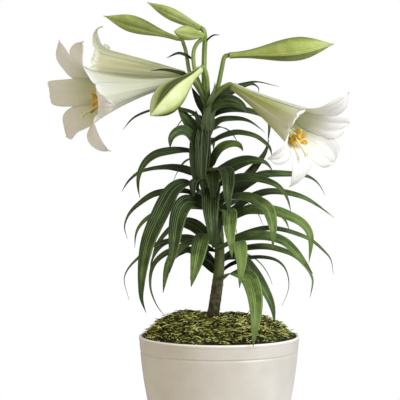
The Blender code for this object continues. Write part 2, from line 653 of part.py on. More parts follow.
def build_moss(group):
    """Moss laid over the soil, as a closed ring of rings and spokes round the stalk's plain hole."""
    angles = 2 * np.pi * np.arange(MOSS_SPOKES) / MOSS_SPOKES
    x, y = moss_grid(angles, LIP_RADIUS - 3 * GAP, np.linspace(0.0, 1.0, MOSS_RINGS))
    upper = np.stack((x, y, moss_height(x, y)), axis=-1).reshape(-1, 3)
    under_radius = pot_radius(SOIL_EDGE_HEIGHT) - WALL - 2 * GAP
    x, y = moss_grid(angles, under_radius, np.linspace(0.0, 1.0, MOSS_UNDER_RINGS))
    under = soil_height(np.hypot(x, y)) + MOSS_REST
    lower = np.stack((x, y, under), axis=-1).reshape(-1, 3)
    points = np.vstack((upper, lower))
    rings = MOSS_RINGS + MOSS_UNDER_RINGS
    rows = [range(ring * MOSS_SPOKES, (ring + 1) * MOSS_SPOKES) for ring in range(rings)]
    rows = rows[:MOSS_RINGS] + rows[:MOSS_RINGS - 1:-1]
    faces = []
    for inner, wider in zip(rows, rows[1:] + rows[:1]):
        for i in range(MOSS_SPOKES):
            j = (i + 1) % MOSS_SPOKES
            faces += [(inner[i], wider[i], wider[j]), (inner[i], wider[j], inner[j])]
    moss = mesh_object("moss", points, faces, group)
    finish(moss, MOSS_GREEN)


def build_bulb(group):
    """Bulb of overlapping scales under the stalk, as a turned body with raised scales."""
    base = STALK_FOOT_Z - BULB_HEIGHT
    points = []
    for ring in range(BULB_RINGS):
        share = ring / (BULB_RINGS - 1)
        radius = bulb_radius(share * BULB_HEIGHT)
        for side in range(BULB_SIDES):
            angle = 2 * math.pi * side / BULB_SIDES
            scale = abs(math.sin(0.5 * BULB_SCALES * angle + 0.5 * math.pi * (ring // 3)))
            swell = radius * (0.94 + 0.06 * scale)
            points.append((swell * math.cos(angle), swell * math.sin(angle), base + share * BULB_HEIGHT))
    top = (BULB_RINGS - 1) * BULB_SIDES
    faces = [tuple(range(BULB_SIDES)), tuple(range(top, top + BULB_SIDES))]
    for ring in range(BULB_RINGS - 1):
        low = ring * BULB_SIDES
        for side in range(BULB_SIDES):
            after = (side + 1) % BULB_SIDES
            faces.append((low + side, low + after, low + BULB_SIDES + after, low + BULB_SIDES + side))
    bulb = mesh_object("bulb", points, faces, group)
    bulb.location = (STALK_FOOT_X, 0.0, 0.0)
    smooth_shade(bulb)
    finish(bulb, BULB_CREAM)


def stalk_points():
    """Centre line of the stalk as rows of x, y, z and radius."""
    foot = [(STALK_FOOT_X, 0.0, STALK_FOOT_Z + GAP, 5.0 * MM), (STALK_FOOT_X, 0.0, 130.0 * MM, 5.9 * MM)]
    rest = [(*seen(column, row, depth), radius * MM) for column, row, depth, radius in STALK_COURSE]
    return np.array(foot + rest)


def stalk_at(row):
    """Point on the stalk's centre line at a row of the front view."""
    course = np.array(STALK_COURSE)[::-1]
    column = float(np.interp(row, course[:, 1], course[:, 0]))
    return seen(column, row, 0.0)


def blade_width(share):
    """Width of a lance-shaped blade along its length, as a share of its greatest width."""
    swell = np.sin(0.5 * np.pi * np.clip(share / 0.4, 0.0, 1.0))
    fall = np.clip((share - 0.35) / 0.65, 0.0, 1.0)
    return (BLADE_ROOT_SHARE + (1.0 - BLADE_ROOT_SHARE) * swell) * (1.0 - fall**2) ** 0.9


def blade(name, line, width, rolls, group):
    """Closed blade along a line, ribbed in the middle and channelled, rolled about its own line."""
    share = np.linspace(0.0, 1.0, len(line))
    ahead = np.gradient(line, axis=0)
    ahead /= np.linalg.norm(ahead, axis=1)[:, None]
    heading = line[-1] - line[0]
    heading[2] = 0.0
    heading /= np.linalg.norm(heading)
    level = np.cross((0.0, 0.0, 1.0), heading)
    across = level - ahead * (ahead @ level)[:, None]
    across /= np.linalg.norm(across, axis=1)[:, None]
    upper = np.cross(ahead, across)
    side = 1.0 if heading[0] > 0.0 else -1.0
    away = math.atan2(max(heading[1], 0.0), abs(heading[0]) + 0.3)
    roll = np.radians(np.interp(share, (0.0, 0.15, 1.0), (0.0, rolls[0], rolls[1])))
    roll = (roll + away * np.clip(-ahead[:, 2], 0.0, 1.0))[:, None]
    turned_across = np.cos(roll) * across + side * np.sin(roll) * upper
    turned_upper = np.cross(ahead, turned_across)
    half = np.maximum(0.5 * width * blade_width(share), 0.5 * BLADE_TIP_WIDTH)[:, None]
    thicknesses = (BLADE_THICKNESS, BLADE_THICKNESS, BLADE_TIP_THICKNESS)
    thick = 0.5 * np.interp(share, (0.0, 0.7, 1.0), thicknesses)[:, None]
    line = line - turned_upper * half * BLADE_DROP
    lift = turned_upper * half * BLADE_CHANNEL
    rings = np.stack((
        line + turned_across * half + lift,
        line + turned_upper * thick,
        line - turned_across * half + lift,
        line - turned_upper * thick,
    ), axis=1)
    faces = [(0, 1, 3), (1, 2, 3)]
    for ring in range(len(line) - 1):
        left, top, right, under = (4 * ring + corner for corner in range(4))
        for edge in (left, right):
            for rib in (top, under):
                faces += [(edge, rib, rib + 4), (edge, rib + 4, edge + 4)]
    last = 4 * (len(line) - 1)
    faces += [(last, last + 1, last + 3), (last + 1, last + 2, last + 3)]
    return mesh_object(name, rings.reshape(-1, 3), faces, group)


def leaf_line(leaf):
    """Centre line of a leaf from the stalk's middle to its tip."""
    root = stalk_at(leaf.root_row)
    columns_rows = np.array(leaf.course, float)
    first = np.array([[VIEW_MIDDLE + (root[0] - EYE_X) / VIEW_STEP, leaf.root_row]])
    flat = np.vstack((first, columns_rows))
    run = np.concatenate(([0.0], np.cumsum(np.linalg.norm(np.diff(flat, axis=0), axis=1))))
    share = run / run[-1]
    sideways = min(1.0, abs(flat[-1, 0] - flat[0, 0]) / 45.0)
    power = 3.2 - 1.6 * sideways
    depth = leaf.tip_depth * (1.0 - (1.0 - share) ** power)
    points = np.array([seen(column, row, deep) for (column, row), deep in zip(flat, depth)])
    length = np.linalg.norm(np.diff(points, axis=0), axis=1).sum()
    return through(points, max(5, round(length / BLADE_PIECE)))


def back_leaf_line(index, chance):
    """Centre line of a leaf behind the stalk, on a spiral up it: it rises, arches over and hangs."""
    share = index / (BACK_LEAF_COUNT - 1)
    row = BACK_LEAF_LOW_ROW + share * (BACK_LEAF_HIGH_ROW - BACK_LEAF_LOW_ROW)
    turn = (index * GOLDEN_ANGLE) % math.pi
    azimuth = math.radians(np.interp(turn, (0.0, math.pi), BACK_LEAF_FAN))
    length = np.interp(share, (0.0, 1.0), BACK_LEAF_LENGTH) + chance.uniform(*BACK_LEAF_LENGTH_SPREAD)
    length *= MM
    rise = BACK_LEAF_RISE + chance.uniform(-BACK_LEAF_RISE_SPREAD, BACK_LEAF_RISE_SPREAD)
    fall = np.interp(share, (0.0, 1.0), BACK_LEAF_FALL)
    fall += chance.uniform(-BACK_LEAF_FALL_SPREAD, BACK_LEAF_FALL_SPREAD)
    rise, fall = math.radians(rise), math.radians(fall)
    count = max(5, round(length / BLADE_PIECE))
    part = (np.arange(count) + 0.5) / count
    slope = rise + (fall - rise) * part**0.9
    out = np.concatenate(([0.0], np.cumsum(np.cos(slope)))) * length / count
    climb = np.concatenate(([0.0], np.cumsum(np.sin(slope)))) * length / count
    root = stalk_at(row)
    heading = np.array((math.cos(azimuth), math.sin(azimuth), 0.0))
    return root + out[:, None] * heading + climb[:, None] * np.array((0.0, 0.0, 1.0))


def flower_axis(name):
    """Direction in which a bloom or bud leaves its flower stalk."""
    if name in BLOOMS:
        return np.array(bloom_frame(BLOOMS[name])[0].col[2][:3])
    base, tip = seen(*BUDS[name].base), seen(*BUDS[name].tip)
    return (tip - base) / np.linalg.norm(tip - base)


def build_leafy_stem(group):
    """Stalk with its flower stalks, bracts and leaves, fused into one body."""
    course = stalk_points()
    stem = tube("leafy_stem", course[:, :3], course[:, 3], group, resolution=2)
    repeats = collection("stem_repeats")
    for name, stalklet in STALKLETS.items():
        points = np.array([seen(*point) for point in stalklet.course])
        end = points[-1].copy()
        points[-1] -= STALKLET_END * flower_axis(name)
        line = np.vstack((through(points, 2 * len(points) - 3), end))
        radii = np.linspace(stalklet.foot_radius, stalklet.end_radius, len(line)) * MM
        tube("stalklet_" + name, line, radii, repeats)
    for width, points in BRACTS:
        line = through([seen(*point) for point in points], 6)
        blade("bract", line, width * MM, BRACT_ROLLS, repeats)
    for leaf in LEAVES:
        rolls = (leaf.roll_root * LEAF_TILT, leaf.roll_tip * LEAF_TILT)
        blade("leaf", leaf_line(leaf), leaf.width * LEAF_BREADTH * MM, rolls, repeats)
    chance = random.Random(SEED)
    for index in range(BACK_LEAF_COUNT):
        line = back_leaf_line(index, chance)
        blade("back_leaf", line, chance.uniform(*BACK_LEAF_WIDTH) * MM, BACK_LEAF_ROLLS, repeats)
    join_repeats(stem, repeats)
    finish(stem, LEAF_GREEN)


def bloom_frame(bloom):
    """Place of a bloom's base and its axes: +Z out through the mouth and +X to the top of the view."""
    base = Vector(seen(*bloom.base))
    throat = Vector(seen(*bloom.throat))
    axis = (throat - base).normalized()
    up = Vector((0.0, 0.0, 1.0))
    top = (up - axis * up.dot(axis)).normalized()
    frame = Matrix((top, axis.cross(top), axis)).transposed().to_4x4()
    frame.translation = base + axis * (GAP + TEPAL_THICKNESS)
    return frame, (throat - base).length


def far_sign(frame):
    """Sign of a bloom's turn for which a quarter turn from the top lies on the view's far side."""
    return 1.0 if frame.col[1].y > 0.0 else -1.0


def corolla_sheet(bloom, length, sign):
    """Open sheet of a corolla: a widening tube that parts into six free, recurved tepals.

    Each tepal's columns run from its left edge to its right edge. In the tube neighbours share their
    edge columns. Beyond the throat each tepal follows its own arc, and every second one lies inside.
    """
    throat = bloom.throat_radius * MM
    count = len(bloom.tepals)
    columns = TEPAL_COLUMNS * count
    turns = np.radians([tepal.turn for tepal in bloom.tepals])
    wrapped = np.append(turns, turns[0] + 2 * np.pi)
    edges = 0.5 * (wrapped[:-1] + wrapped[1:])
    left = np.concatenate(([edges[-1] - 2 * np.pi], edges[:-1]))
    points = [(0.0, 0.0, 0.0)]
    for row in range(TUBE_ROWS + 1):
        share = row / TUBE_ROWS
        radius = TUBE_BASE_RADIUS + (throat - TUBE_BASE_RADIUS) * share**bloom.widening
        for index in range(count):
            for column in range(TEPAL_COLUMNS):
                part = column / TEPAL_COLUMNS
                angle = sign * (left[index] + part * (edges[index] - left[index]))
                reach = radius * (1.0 + TEPAL_KEEL * math.cos(2 * math.pi * (part - 0.5)) * share)
                points.append((reach * math.cos(angle), reach * math.sin(angle), length * share))
    faces = [(0, 1 + i, 1 + (i + 1) % columns) for i in range(columns)]
    for row in range(TUBE_ROWS):
        low = 1 + row * columns
        for i in range(columns):
            j = (i + 1) % columns
            faces.append((low + i, low + j, low + columns + j))
            faces.append((low + i, low + columns + j, low + columns + i))
    ring = 1 + TUBE_ROWS * columns
    slope = math.atan2(bloom.widening * (throat - TUBE_BASE_RADIUS), length)
    across = np.linspace(-1.0, 1.0, TEPAL_COLUMNS + 1)
    for index, tepal in enumerate(bloom.tepals):
        half_turn = 0.5 * (edges[index] - left[index])
        middle = 0.5 * (edges[index] + left[index])
        free = tepal.free_length * MM
        inside = -TEPAL_STEP if index % 2 else TEPAL_STEP
        radius = throat * (1.0 + TEPAL_KEEL)
        height = length
        first = index * TEPAL_COLUMNS
        before = [ring + (first + column) % columns for column in range(TEPAL_COLUMNS + 1)]
        for row in range(1, FREE_ROWS + 1):
            share = row / FREE_ROWS
            turn = slope + (math.radians(tepal.end_turn) - slope) * ((row - 0.5) / FREE_ROWS) ** 1.15
            radius += math.sin(turn) * free / FREE_ROWS
            height += math.cos(turn) * free / FREE_ROWS
            blend = min(1.0, share / 0.4)
            half = (throat * half_turn) * (1.0 - blend) + tepal.half_width * MM * blend
            half = max(half * (1.0 - share**4.0) ** 0.78, 0.5 * TEPAL_END_WIDTH)
            bow = throat * (1.0 + 3.5 * share)
            lean = turn * blend
            inward = (-math.cos(lean), math.sin(lean))
            row_points = []
            wave = TEPAL_WAVE * math.sin(5.0 * share)
            for part in across:
                sag = bow * (1.0 - math.cos(part * half / bow)) + wave * part**2
                side = bow * math.sin(part * half / bow)
                out = radius + inside * blend + inward[0] * sag
                rise = height + inward[1] * sag
                angle = sign * (turns[index] * blend + middle * (1.0 - blend))
                side *= sign
                points.append((out * math.cos(angle) - side * math.sin(angle),
                               out * math.sin(angle) + side * math.cos(angle), rise))
                row_points.append(len(points) - 1)
            for i in range(TEPAL_COLUMNS):
                faces.append((before[i], before[i + 1], row_points[i + 1]))
                faces.append((before[i], row_points[i + 1], row_points[i]))
            before = row_points
    return points, faces


def build_corolla(name, bloom, surface, group):
    """Six tepals of one bloom as one closed body of even thickness."""
    frame, length = bloom_frame(bloom)
    points, faces = corolla_sheet(bloom, length, far_sign(frame))
    corolla = mesh_object(name, points, faces, group)
    if corolla.data.polygons[0].normal.z > 0.0:
        corolla.data.flip_normals()
    corolla.matrix_world = frame
    shell = corolla.modifiers.new("thickness", "SOLIDIFY")
    shell.thickness = TEPAL_THICKNESS
    shell.offset = 1.0
    shell.use_rim = True
    bake(corolla)
    smooth_shade(corolla)
    finish(corolla, surface)


def build_stamens(name, bloom, group):
    """Pistil with its three-lobed stigma and six stamens round it, fused at their foot."""
    frame = bloom_frame(bloom)[0]
    sign = far_sign(frame)
    reach = bloom.stamen_length * MM
    sweep = Vector((bloom.stamen_sweep, 0.0, 0.0)) * MM
    style = []
    for share in np.linspace(0.0, 1.0, 5):
        style.append(Vector((0.0, 0.0, GAP + (reach - GAP) * share)) - sweep * share**3)
    pistil = tube(name, style, [PISTIL_FOOT_RADIUS] + [STYLE_RADIUS] * 3 + [STYLE_RADIUS * 1.3], group)
    repeats = collection(name + "_repeats")
    ahead = Vector((0.0, 0.0, STIGMA_REACH))
    for index in range(STIGMA_LOBES):
        angle = 2 * math.pi * (index + 0.25) / STIGMA_LOBES
        out = Vector((math.cos(angle), math.sin(angle), 0.0))
        lobe = [style[-1] - ahead, style[-1] + out * STIGMA_REACH + ahead * 0.5]
        tube("stigma", lobe, [STYLE_RADIUS, 2 * STYLE_RADIUS], repeats, resolution=0)
    for index in range(STAMEN_COUNT):
        angle = sign * math.radians(bloom.tepals[index].turn)
        out = Vector((math.cos(angle), math.sin(angle), 0.0))
        spread = (0.24 + 0.05 * (index % 2)) * bloom.throat_radius * MM
        tall = reach * (0.8 + 0.035 * (index % 3))
        line = [Vector((0.0, 0.0, 1.5 * MM))]
        for share in (0.05, 0.5, 1.0):
            apart = STAMEN_RING + (spread - STAMEN_RING) * share**2
            line.append(out * apart + Vector((0.0, 0.0, tall * share)) - sweep * FILAMENT_SWEEP * share**3)
        tube("filament", line, [FILAMENT_RADIUS] * 4, repeats, resolution=0)
        around = Vector((-out.y, out.x, 0.0))
        lie = (out * 0.55 + around * 0.35 + Vector((0.0, 0.0, 0.75))).normalized()
        ends = [line[-1] + lie * ANTHER_LENGTH * part for part in (-0.5, -0.28, 0.28, 0.5)]
        radii = [ANTHER_TIP_RADIUS, ANTHER_RADIUS, ANTHER_RADIUS, ANTHER_TIP_RADIUS]
        tube("anther", ends, radii, repeats, resolution=0)
    join_repeats(pistil, repeats, "MANIFOLD")
    pistil.matrix_world = frame
    finish(pistil, ANTHER_GOLD)


def build_bud(name, bud, surface, group):
    """Closed bud: a long spindle with three raised keels, narrow at its stalk and pointed at its tip."""
    base = seen(*bud.base)
    tip = seen(*bud.tip)
    axis = (tip - base) / np.linalg.norm(tip - base)
    up = np.array((0.0, 0.0, 1.0)) - axis * axis[2]
    up /= np.linalg.norm(up)
    side = np.cross(axis, up)
    start = base + axis * GAP
    points = []
    for row in range(BUD_ROWS + 1):
        share = row / BUD_ROWS
        if share < bud.swell:
            rise = math.sin(0.5 * math.pi * share / bud.swell) ** bud.rise
            swell = bud.foot + (1.0 - bud.foot) * rise
        else:
            fall = math.cos(0.5 * math.pi * (share - bud.swell) / (1.0 - bud.swell))
            swell = max(BUD_TIP_SHARE, max(0.0, fall) ** bud.taper)
        middle = start + (tip - start) * share + up * bud.sag * MM * math.sin(math.pi * share)
        for step in range(BUD_SIDES):
            angle = 2 * math.pi * step / BUD_SIDES
            ridge = math.cos(3 * (angle - math.radians(bud.keel_turn)))
            keel = 1.0 + BUD_KEEL * ridge * math.sin(math.pi * share)
            reach = bud.radius * MM * swell * keel
            points.append(middle + up * reach * math.cos(angle) + side * reach * math.sin(angle))
    end = BUD_ROWS * BUD_SIDES
    faces = [tuple(range(BUD_SIDES)), tuple(range(end, end + BUD_SIDES))]
    for row in range(BUD_ROWS):
        low = row * BUD_SIDES
        for step in range(BUD_SIDES):
            after = (step + 1) % BUD_SIDES
            faces.append((low + step, low + after, low + BUD_SIDES + after, low + BUD_SIDES + step))
    obj = mesh_object(name, points, faces, group)
    smooth_shade(obj)
    finish(obj, surface)


def main():
    """Build the potted lily."""
    clear_scene()
    part = collection("potted_lily")
    cutters = collection("cutters")
    cutters.hide_render = True
    build_pot(part, cutters)
    build_soil(part, cutters)
    build_moss(part)
    build_bulb(part)
    build_leafy_stem(part)
    for name, bloom in BLOOMS.items():
        surface = TEPAL_GREENISH if name == "bloom_back" else TEPAL_WHITE
        build_corolla(name, bloom, surface, part)
        build_stamens(name + "_stamens", bloom, part)
    for name, bud in BUDS.items():
        build_bud(name, bud, BUD_PALE if name == "bud_front" else BUD_GREEN, part)


main()
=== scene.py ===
"""Looks of a potted trumpet lily: cream pot, moss, leafy stem, three open blooms and five buds.

Lengths are metres and +Z is up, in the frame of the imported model. Plant parts are placed by their
course in the front view, in steps to the right and down, with a depth behind the pot's axis.
"""

import logging
import math
import random
from dataclasses import dataclass, field
from enum import Enum

import bpy
import numpy as np
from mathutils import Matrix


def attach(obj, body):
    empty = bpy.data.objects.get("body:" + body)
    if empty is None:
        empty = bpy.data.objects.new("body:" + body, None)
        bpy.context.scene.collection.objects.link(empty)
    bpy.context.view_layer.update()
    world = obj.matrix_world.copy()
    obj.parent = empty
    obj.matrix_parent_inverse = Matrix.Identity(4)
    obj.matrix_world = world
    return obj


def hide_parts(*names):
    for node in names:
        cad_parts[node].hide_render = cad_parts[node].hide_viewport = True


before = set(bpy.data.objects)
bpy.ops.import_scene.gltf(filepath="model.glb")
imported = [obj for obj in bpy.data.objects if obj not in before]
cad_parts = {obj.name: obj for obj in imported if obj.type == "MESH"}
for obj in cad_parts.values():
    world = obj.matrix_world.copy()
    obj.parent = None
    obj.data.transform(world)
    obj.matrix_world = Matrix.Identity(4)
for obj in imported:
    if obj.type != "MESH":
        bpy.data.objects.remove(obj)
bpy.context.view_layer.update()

LOG = logging.getLogger("potted_lily")
MM = 0.001
BODY = "root"
SEED = 7
POLE = 1e-5  # radius at which an outline ends beside its axis
Z_AXIS = np.array((0.0, 0.0, 1.0))  # up in the model, and out of the mouth in a bloom's own axes
Socket = bpy.types.NodeSocket
Material = bpy.types.Material


# Front view and lines


@dataclass(frozen=True)
class FrontView:
    """The level front view by whose columns and rows the plant's parts are placed."""

    eye_x: float = -19.6 * MM
    eye_z: float = 289.0 * MM
    distance: float = 1120.0 * MM
    step: float = 1.03125 * MM
    middle: float = 200.0

    def place(self, course: np.ndarray) -> np.ndarray:
        """Points at columns, rows and depths of the view; a step widens with its distance from the eye.

        Args:
            course: rows of column, row and depth in millimetres.

        Returns:
            Rows of x, y and z in metres.
        """
        course = np.atleast_2d(np.asarray(course, float))
        depth = course[:, 2] * MM
        spread = self.step * (self.distance + depth) / self.distance
        x = self.eye_x + (course[:, 0] - self.middle) * spread
        z = self.eye_z - (course[:, 1] - self.middle) * spread
        return np.column_stack((x, depth, z))


VIEW = FrontView()


def unit(vectors: np.ndarray) -> np.ndarray:
    """Vectors along the last axis, brought to length one."""
    return vectors / np.maximum(np.linalg.norm(vectors, axis=-1, keepdims=True), 1e-12)


def limited(value: np.ndarray) -> np.ndarray:
    """Value held between 0 and 1."""
    return np.clip(value, 0.0, 1.0)


def ease(value: np.ndarray, start: float, end: float) -> np.ndarray:
    """Smooth step from 0 at start to 1 at end: three times the square less twice the cube."""
    share = limited((value - start) / (end - start))
    return share * share * (3.0 - 2.0 * share)


def bell(value: np.ndarray, width: float) -> np.ndarray:
    """Bell curve: the exponential of minus the square of value over width."""
    return np.exp(-(value / width) ** 2)


def totals(steps: np.ndarray) -> np.ndarray:
    """Running total of steps, from 0 on."""
    return np.concatenate(([0.0], np.cumsum(steps)))


def circle_angles(count: int) -> np.ndarray:
    """Angles of a circle's even points, from 0 on."""
    return 2 * np.pi * np.arange(count) / count


def step_lengths(line: np.ndarray) -> np.ndarray:
    """Lengths of the steps between a line's points."""
    return np.linalg.norm(np.diff(line[:, :3], axis=0), axis=1)


def on_along(first: np.ndarray, second: np.ndarray) -> np.ndarray:
    """Two courses of a value as one column; the point that they share is there once."""
    return np.concatenate((first, second[1:]))[:, None]


def through(points: np.ndarray, count: int) -> np.ndarray:
    """Smooth line through points (Catmull-Rom cubic), read off at even steps of its length.

    Args:
        points: rows of coordinates, with any number of further columns.
        count: number of steps.

    Returns:
        count + 1 rows with the same columns.
    """
    points = np.asarray(points, float)
    padded = np.vstack((2 * points[0] - points[1], points, 2 * points[-1] - points[-2]))
    t = np.linspace(0.0, 1.0, 12, endpoint=False)[:, None, None]
    a, b, c, d = padded[:-3], padded[1:-2], padded[2:-1], padded[3:]
    part = 0.5 * (2 * b + (c - a) * t + (2 * a - 5 * b + 4 * c - d) * t**2
                  + (3 * b - 3 * c + d - a) * t**3)
    dense = np.vstack((part.transpose(1, 0, 2).reshape(-1, points.shape[1]), points[-1:]))
    run = totals(step_lengths(dense))
    even = np.linspace(0.0, run[-1], count + 1)
    return np.column_stack([np.interp(even, run, column) for column in dense.T])


# Surfaces


@dataclass
class Surface:
    """A mesh in arrays: points, quads and triangles with a UV pair at each corner, and point tints."""

    points: np.ndarray
    quads: np.ndarray
    quad_uv: np.ndarray
    tris: np.ndarray = field(default_factory=lambda: np.zeros((0, 3), int))
    tri_uv: np.ndarray = field(default_factory=lambda: np.zeros((0, 3, 2)))
    tints: dict[str, np.ndarray] = field(default_factory=dict)

    def tinted(self, **tints: np.ndarray | float) -> "Surface":
        """Give the surface named tints.

        Args:
            **tints: each tint's one value, or its values for all points.

        Returns:
            The same surface.
        """
        for name, value in tints.items():
            self.tints[name] = np.broadcast_to(np.asarray(value, float).reshape(-1), len(self.points))
        return self

    def outward(self) -> "Surface":
        """Turn the faces outward, judged by the sign of the volume that they enclose.

        Returns:
            The same surface.
        """
        corners = np.concatenate((self.quads[:, [0, 1, 2]], self.quads[:, [0, 2, 3]], self.tris))
        a, b, c = (self.points[corners[:, i]] for i in range(3))
        if np.einsum("ij,ij->", a, np.cross(b, c)) < 0.0:
            self.quads, self.quad_uv = self.quads[:, ::-1], self.quad_uv[:, ::-1]
            self.tris, self.tri_uv = self.tris[:, ::-1], self.tri_uv[:, ::-1]
        return self

    def mesh(self, name: str) -> bpy.types.Mesh:
        """The surface's faces as a mesh.

        Args:
            name: the mesh's name.

        Returns:
            The mesh.
        """
        mesh = bpy.data.meshes.new(name)
        mesh.from_pydata(self.points, [], self.quads.tolist() + self.tris.tolist())
        return mesh


def joined(surfaces: list[Surface]) -> Surface:
    """Several surfaces as one.

    Args:
        surfaces: surfaces with the same tints.

    Returns:
        One surface that holds them all.
    """
    starts = np.cumsum([0] + [len(surface.points) for surface in surfaces[:-1]])
    return Surface(
        points=np.concatenate([surface.points for surface in surfaces]),
        quads=np.concatenate([surface.quads + start for surface, start in zip(surfaces, starts)]),
        quad_uv=np.concatenate([surface.quad_uv for surface in surfaces]),
        tris=np.concatenate([surface.tris + start for surface, start in zip(surfaces, starts)]),
        tri_uv=np.concatenate([surface.tri_uv for surface in surfaces]),
        tints={name: np.concatenate([surface.tints[name] for surface in surfaces])
               for name in surfaces[0].tints},
    )


def ring_quads(rows: int, columns: int) -> tuple[np.ndarray, np.ndarray]:
    """Quads that join rings of points, and their UVs: U round the ring and V from the first ring on.

    Args:
        rows: rings.
        columns: points of a ring.

    Returns:
        Quad corners and the UV of each corner.
    """
    index = np.arange(rows * columns).reshape(rows, columns)
    after = np.roll(index, -1, axis=1)
    quads = np.stack((index[:-1], after[:-1], after[1:], index[1:]), axis=-1).reshape(-1, 4)
    v, u = np.meshgrid(np.arange(rows - 1), np.arange(columns), indexing="ij")
    us = np.stack((u, u + 1, u + 1, u), axis=-1).reshape(-1, 4) / columns
    vs = np.stack((v, v, v + 1, v + 1), axis=-1).reshape(-1, 4) / (rows - 1)
    return quads, np.stack((us, vs), axis=-1)


def closed_rings(rings: np.ndarray) -> Surface:
    """Surface over rings of points, closed at both ends by a fan round each end ring's middle.

    Args:
        rings: points as rings, points of a ring, and coordinates.

    Returns:
        The closed surface.
    """
    rows, columns = rings.shape[:2]
    quads, quad_uv = ring_quads(rows, columns)
    points = np.concatenate((rings.reshape(-1, 3), rings[:1].mean(axis=1), rings[-1:].mean(axis=1)))
    first, last = np.arange(columns), (rows - 1) * columns + np.arange(columns)
    low = np.stack((np.full(columns, rows * columns), np.roll(first, -1), first), axis=-1)
    high = np.stack((np.full(columns, rows * columns + 1), last, np.roll(last, -1)), axis=-1)
    tri_uv = np.zeros((2 * columns, 3, 2))
    tri_uv[columns:, :, 1] = 1.0
    return Surface(points, quads, quad_uv, np.concatenate((low, high)), tri_uv).outward()


def shell(upper: np.ndarray, under: np.ndarray) -> Surface:
    """Closed thin body between two sheets of points, joined along their edges and ends.

    The UV runs from edge to edge and from end to end alike on both sheets, and the tint "side" is 0
    on the upper sheet and 1 on the under one.

    Args:
        upper: sheet of points as rows, columns and coordinates.
        under: the sheet on the other side, of the same size.

    Returns:
        The closed surface.
    """
    rows, columns = upper.shape[:2]
    rings = np.concatenate((upper, under[:, ::-1]), axis=1)
    quads, _ = ring_quads(rows, 2 * columns)
    i = np.arange(columns - 1)
    end = (rows - 1) * 2 * columns
    first = np.stack((i + 1, i, 2 * columns - 1 - i, 2 * columns - 2 - i), axis=-1)
    last = np.stack((i, i + 1, 2 * columns - 2 - i, 2 * columns - 1 - i), axis=-1) + end
    quads = np.concatenate((quads, first, last))
    u = np.linspace(0.0, 1.0, columns)
    across = np.tile(np.concatenate((u, u[::-1])), rows)
    along = np.repeat(np.linspace(0.0, 1.0, rows), 2 * columns)
    uv = np.column_stack((across, along))
    side = np.tile(np.repeat((0.0, 1.0), columns), rows)
    surface = Surface(rings.reshape(-1, 3), quads, uv[quads])
    return surface.tinted(side=side).outward()


def level_frames(line: np.ndarray) -> tuple[np.ndarray, np.ndarray]:
    """Directions across and up for each point of a line that lies nearly in one plane.

    Across stays close to the plane's own normal, which is the direction in which the points spread
    least, so the frames don't twist.

    Args:
        line: rows of x, y and z.

    Returns:
        Two arrays of unit vectors.
    """
    ahead = unit(np.gradient(line, axis=0))
    normal = np.linalg.svd(line - line.mean(axis=0))[2][2]
    across = unit(normal - ahead * (ahead @ normal)[:, None])
    return across, np.cross(ahead, across)


def tube(line: np.ndarray, radii: np.ndarray, sides: int, relief: np.ndarray | float = 0.0) -> Surface:
    """Round bar along a line: each ring is the line's point plus radius times a circle.

    Args:
        line: rows of x, y and z.
        radii: radius at each row.
        sides: points of a ring.
        relief: height added to the radius, one value or one for each ring and side.

    Returns:
        The closed surface.
    """
    across, upper = level_frames(line)
    angle = circle_angles(sides)
    circle = across[:, None] * np.cos(angle)[None, :, None] + upper[:, None] * np.sin(angle)[None, :, None]
    reach = np.broadcast_to(np.asarray(radii, float)[:, None] + relief, (len(line), sides))
    return closed_rings(line[:, None] + circle * reach[..., None])


def lathe(outline: np.ndarray, steps: int, centre: tuple[float, float] = (0.0, 0.0)) -> Surface:
    """Outline of radius and height turned about an upright axis, from one pole to the other.

    Args:
        outline: rows of radius and height, both ends on or near the axis.
        steps: points of a ring.
        centre: place of the axis.

    Returns:
        The closed surface.
    """
    angle = circle_angles(steps)
    rings = np.stack((
        centre[0] + outline[:, :1] * np.cos(angle),
        centre[1] + outline[:, :1] * np.sin(angle),
        np.broadcast_to(outline[:, 1:], (len(outline), steps)),
    ), axis=-1)
    return closed_rings(rings)


def rounded(corners: np.ndarray, radius: float, steps: int = 5) -> np.ndarray:
    """Outline whose inner corners are rounded by arcs that run from one side to the next.

    Args:
        corners: rows of radius and height.
        radius: distance from a corner at which its arc starts, at most.
        steps: points of an arc.

    Returns:
        Rows of radius and height.
    """
    before, at, after = corners[:-2], corners[1:-1], corners[2:]
    longest = 0.45  # share of a side that one arc may take, so that two never meet
    reach_in = np.minimum(radius, longest * np.linalg.norm(before - at, axis=1))[:, None]
    reach_out = np.minimum(radius, longest * np.linalg.norm(after - at, axis=1))[:, None]
    start, end = at + unit(before - at) * reach_in, at + unit(after - at) * reach_out
    t = np.linspace(0.0, 1.0, steps)[None, :, None]
    arcs = (1 - t) ** 2 * start[:, None] + 2 * t * (1 - t) * at[:, None] + t**2 * end[:, None]
    return np.concatenate((corners[:1], arcs.reshape(-1, 2), corners[-1:]))


# Finishes


class Projection(Enum):
    """What a pattern's coordinates are read from."""

    OBJECT = "Object"
    UV = "UV"


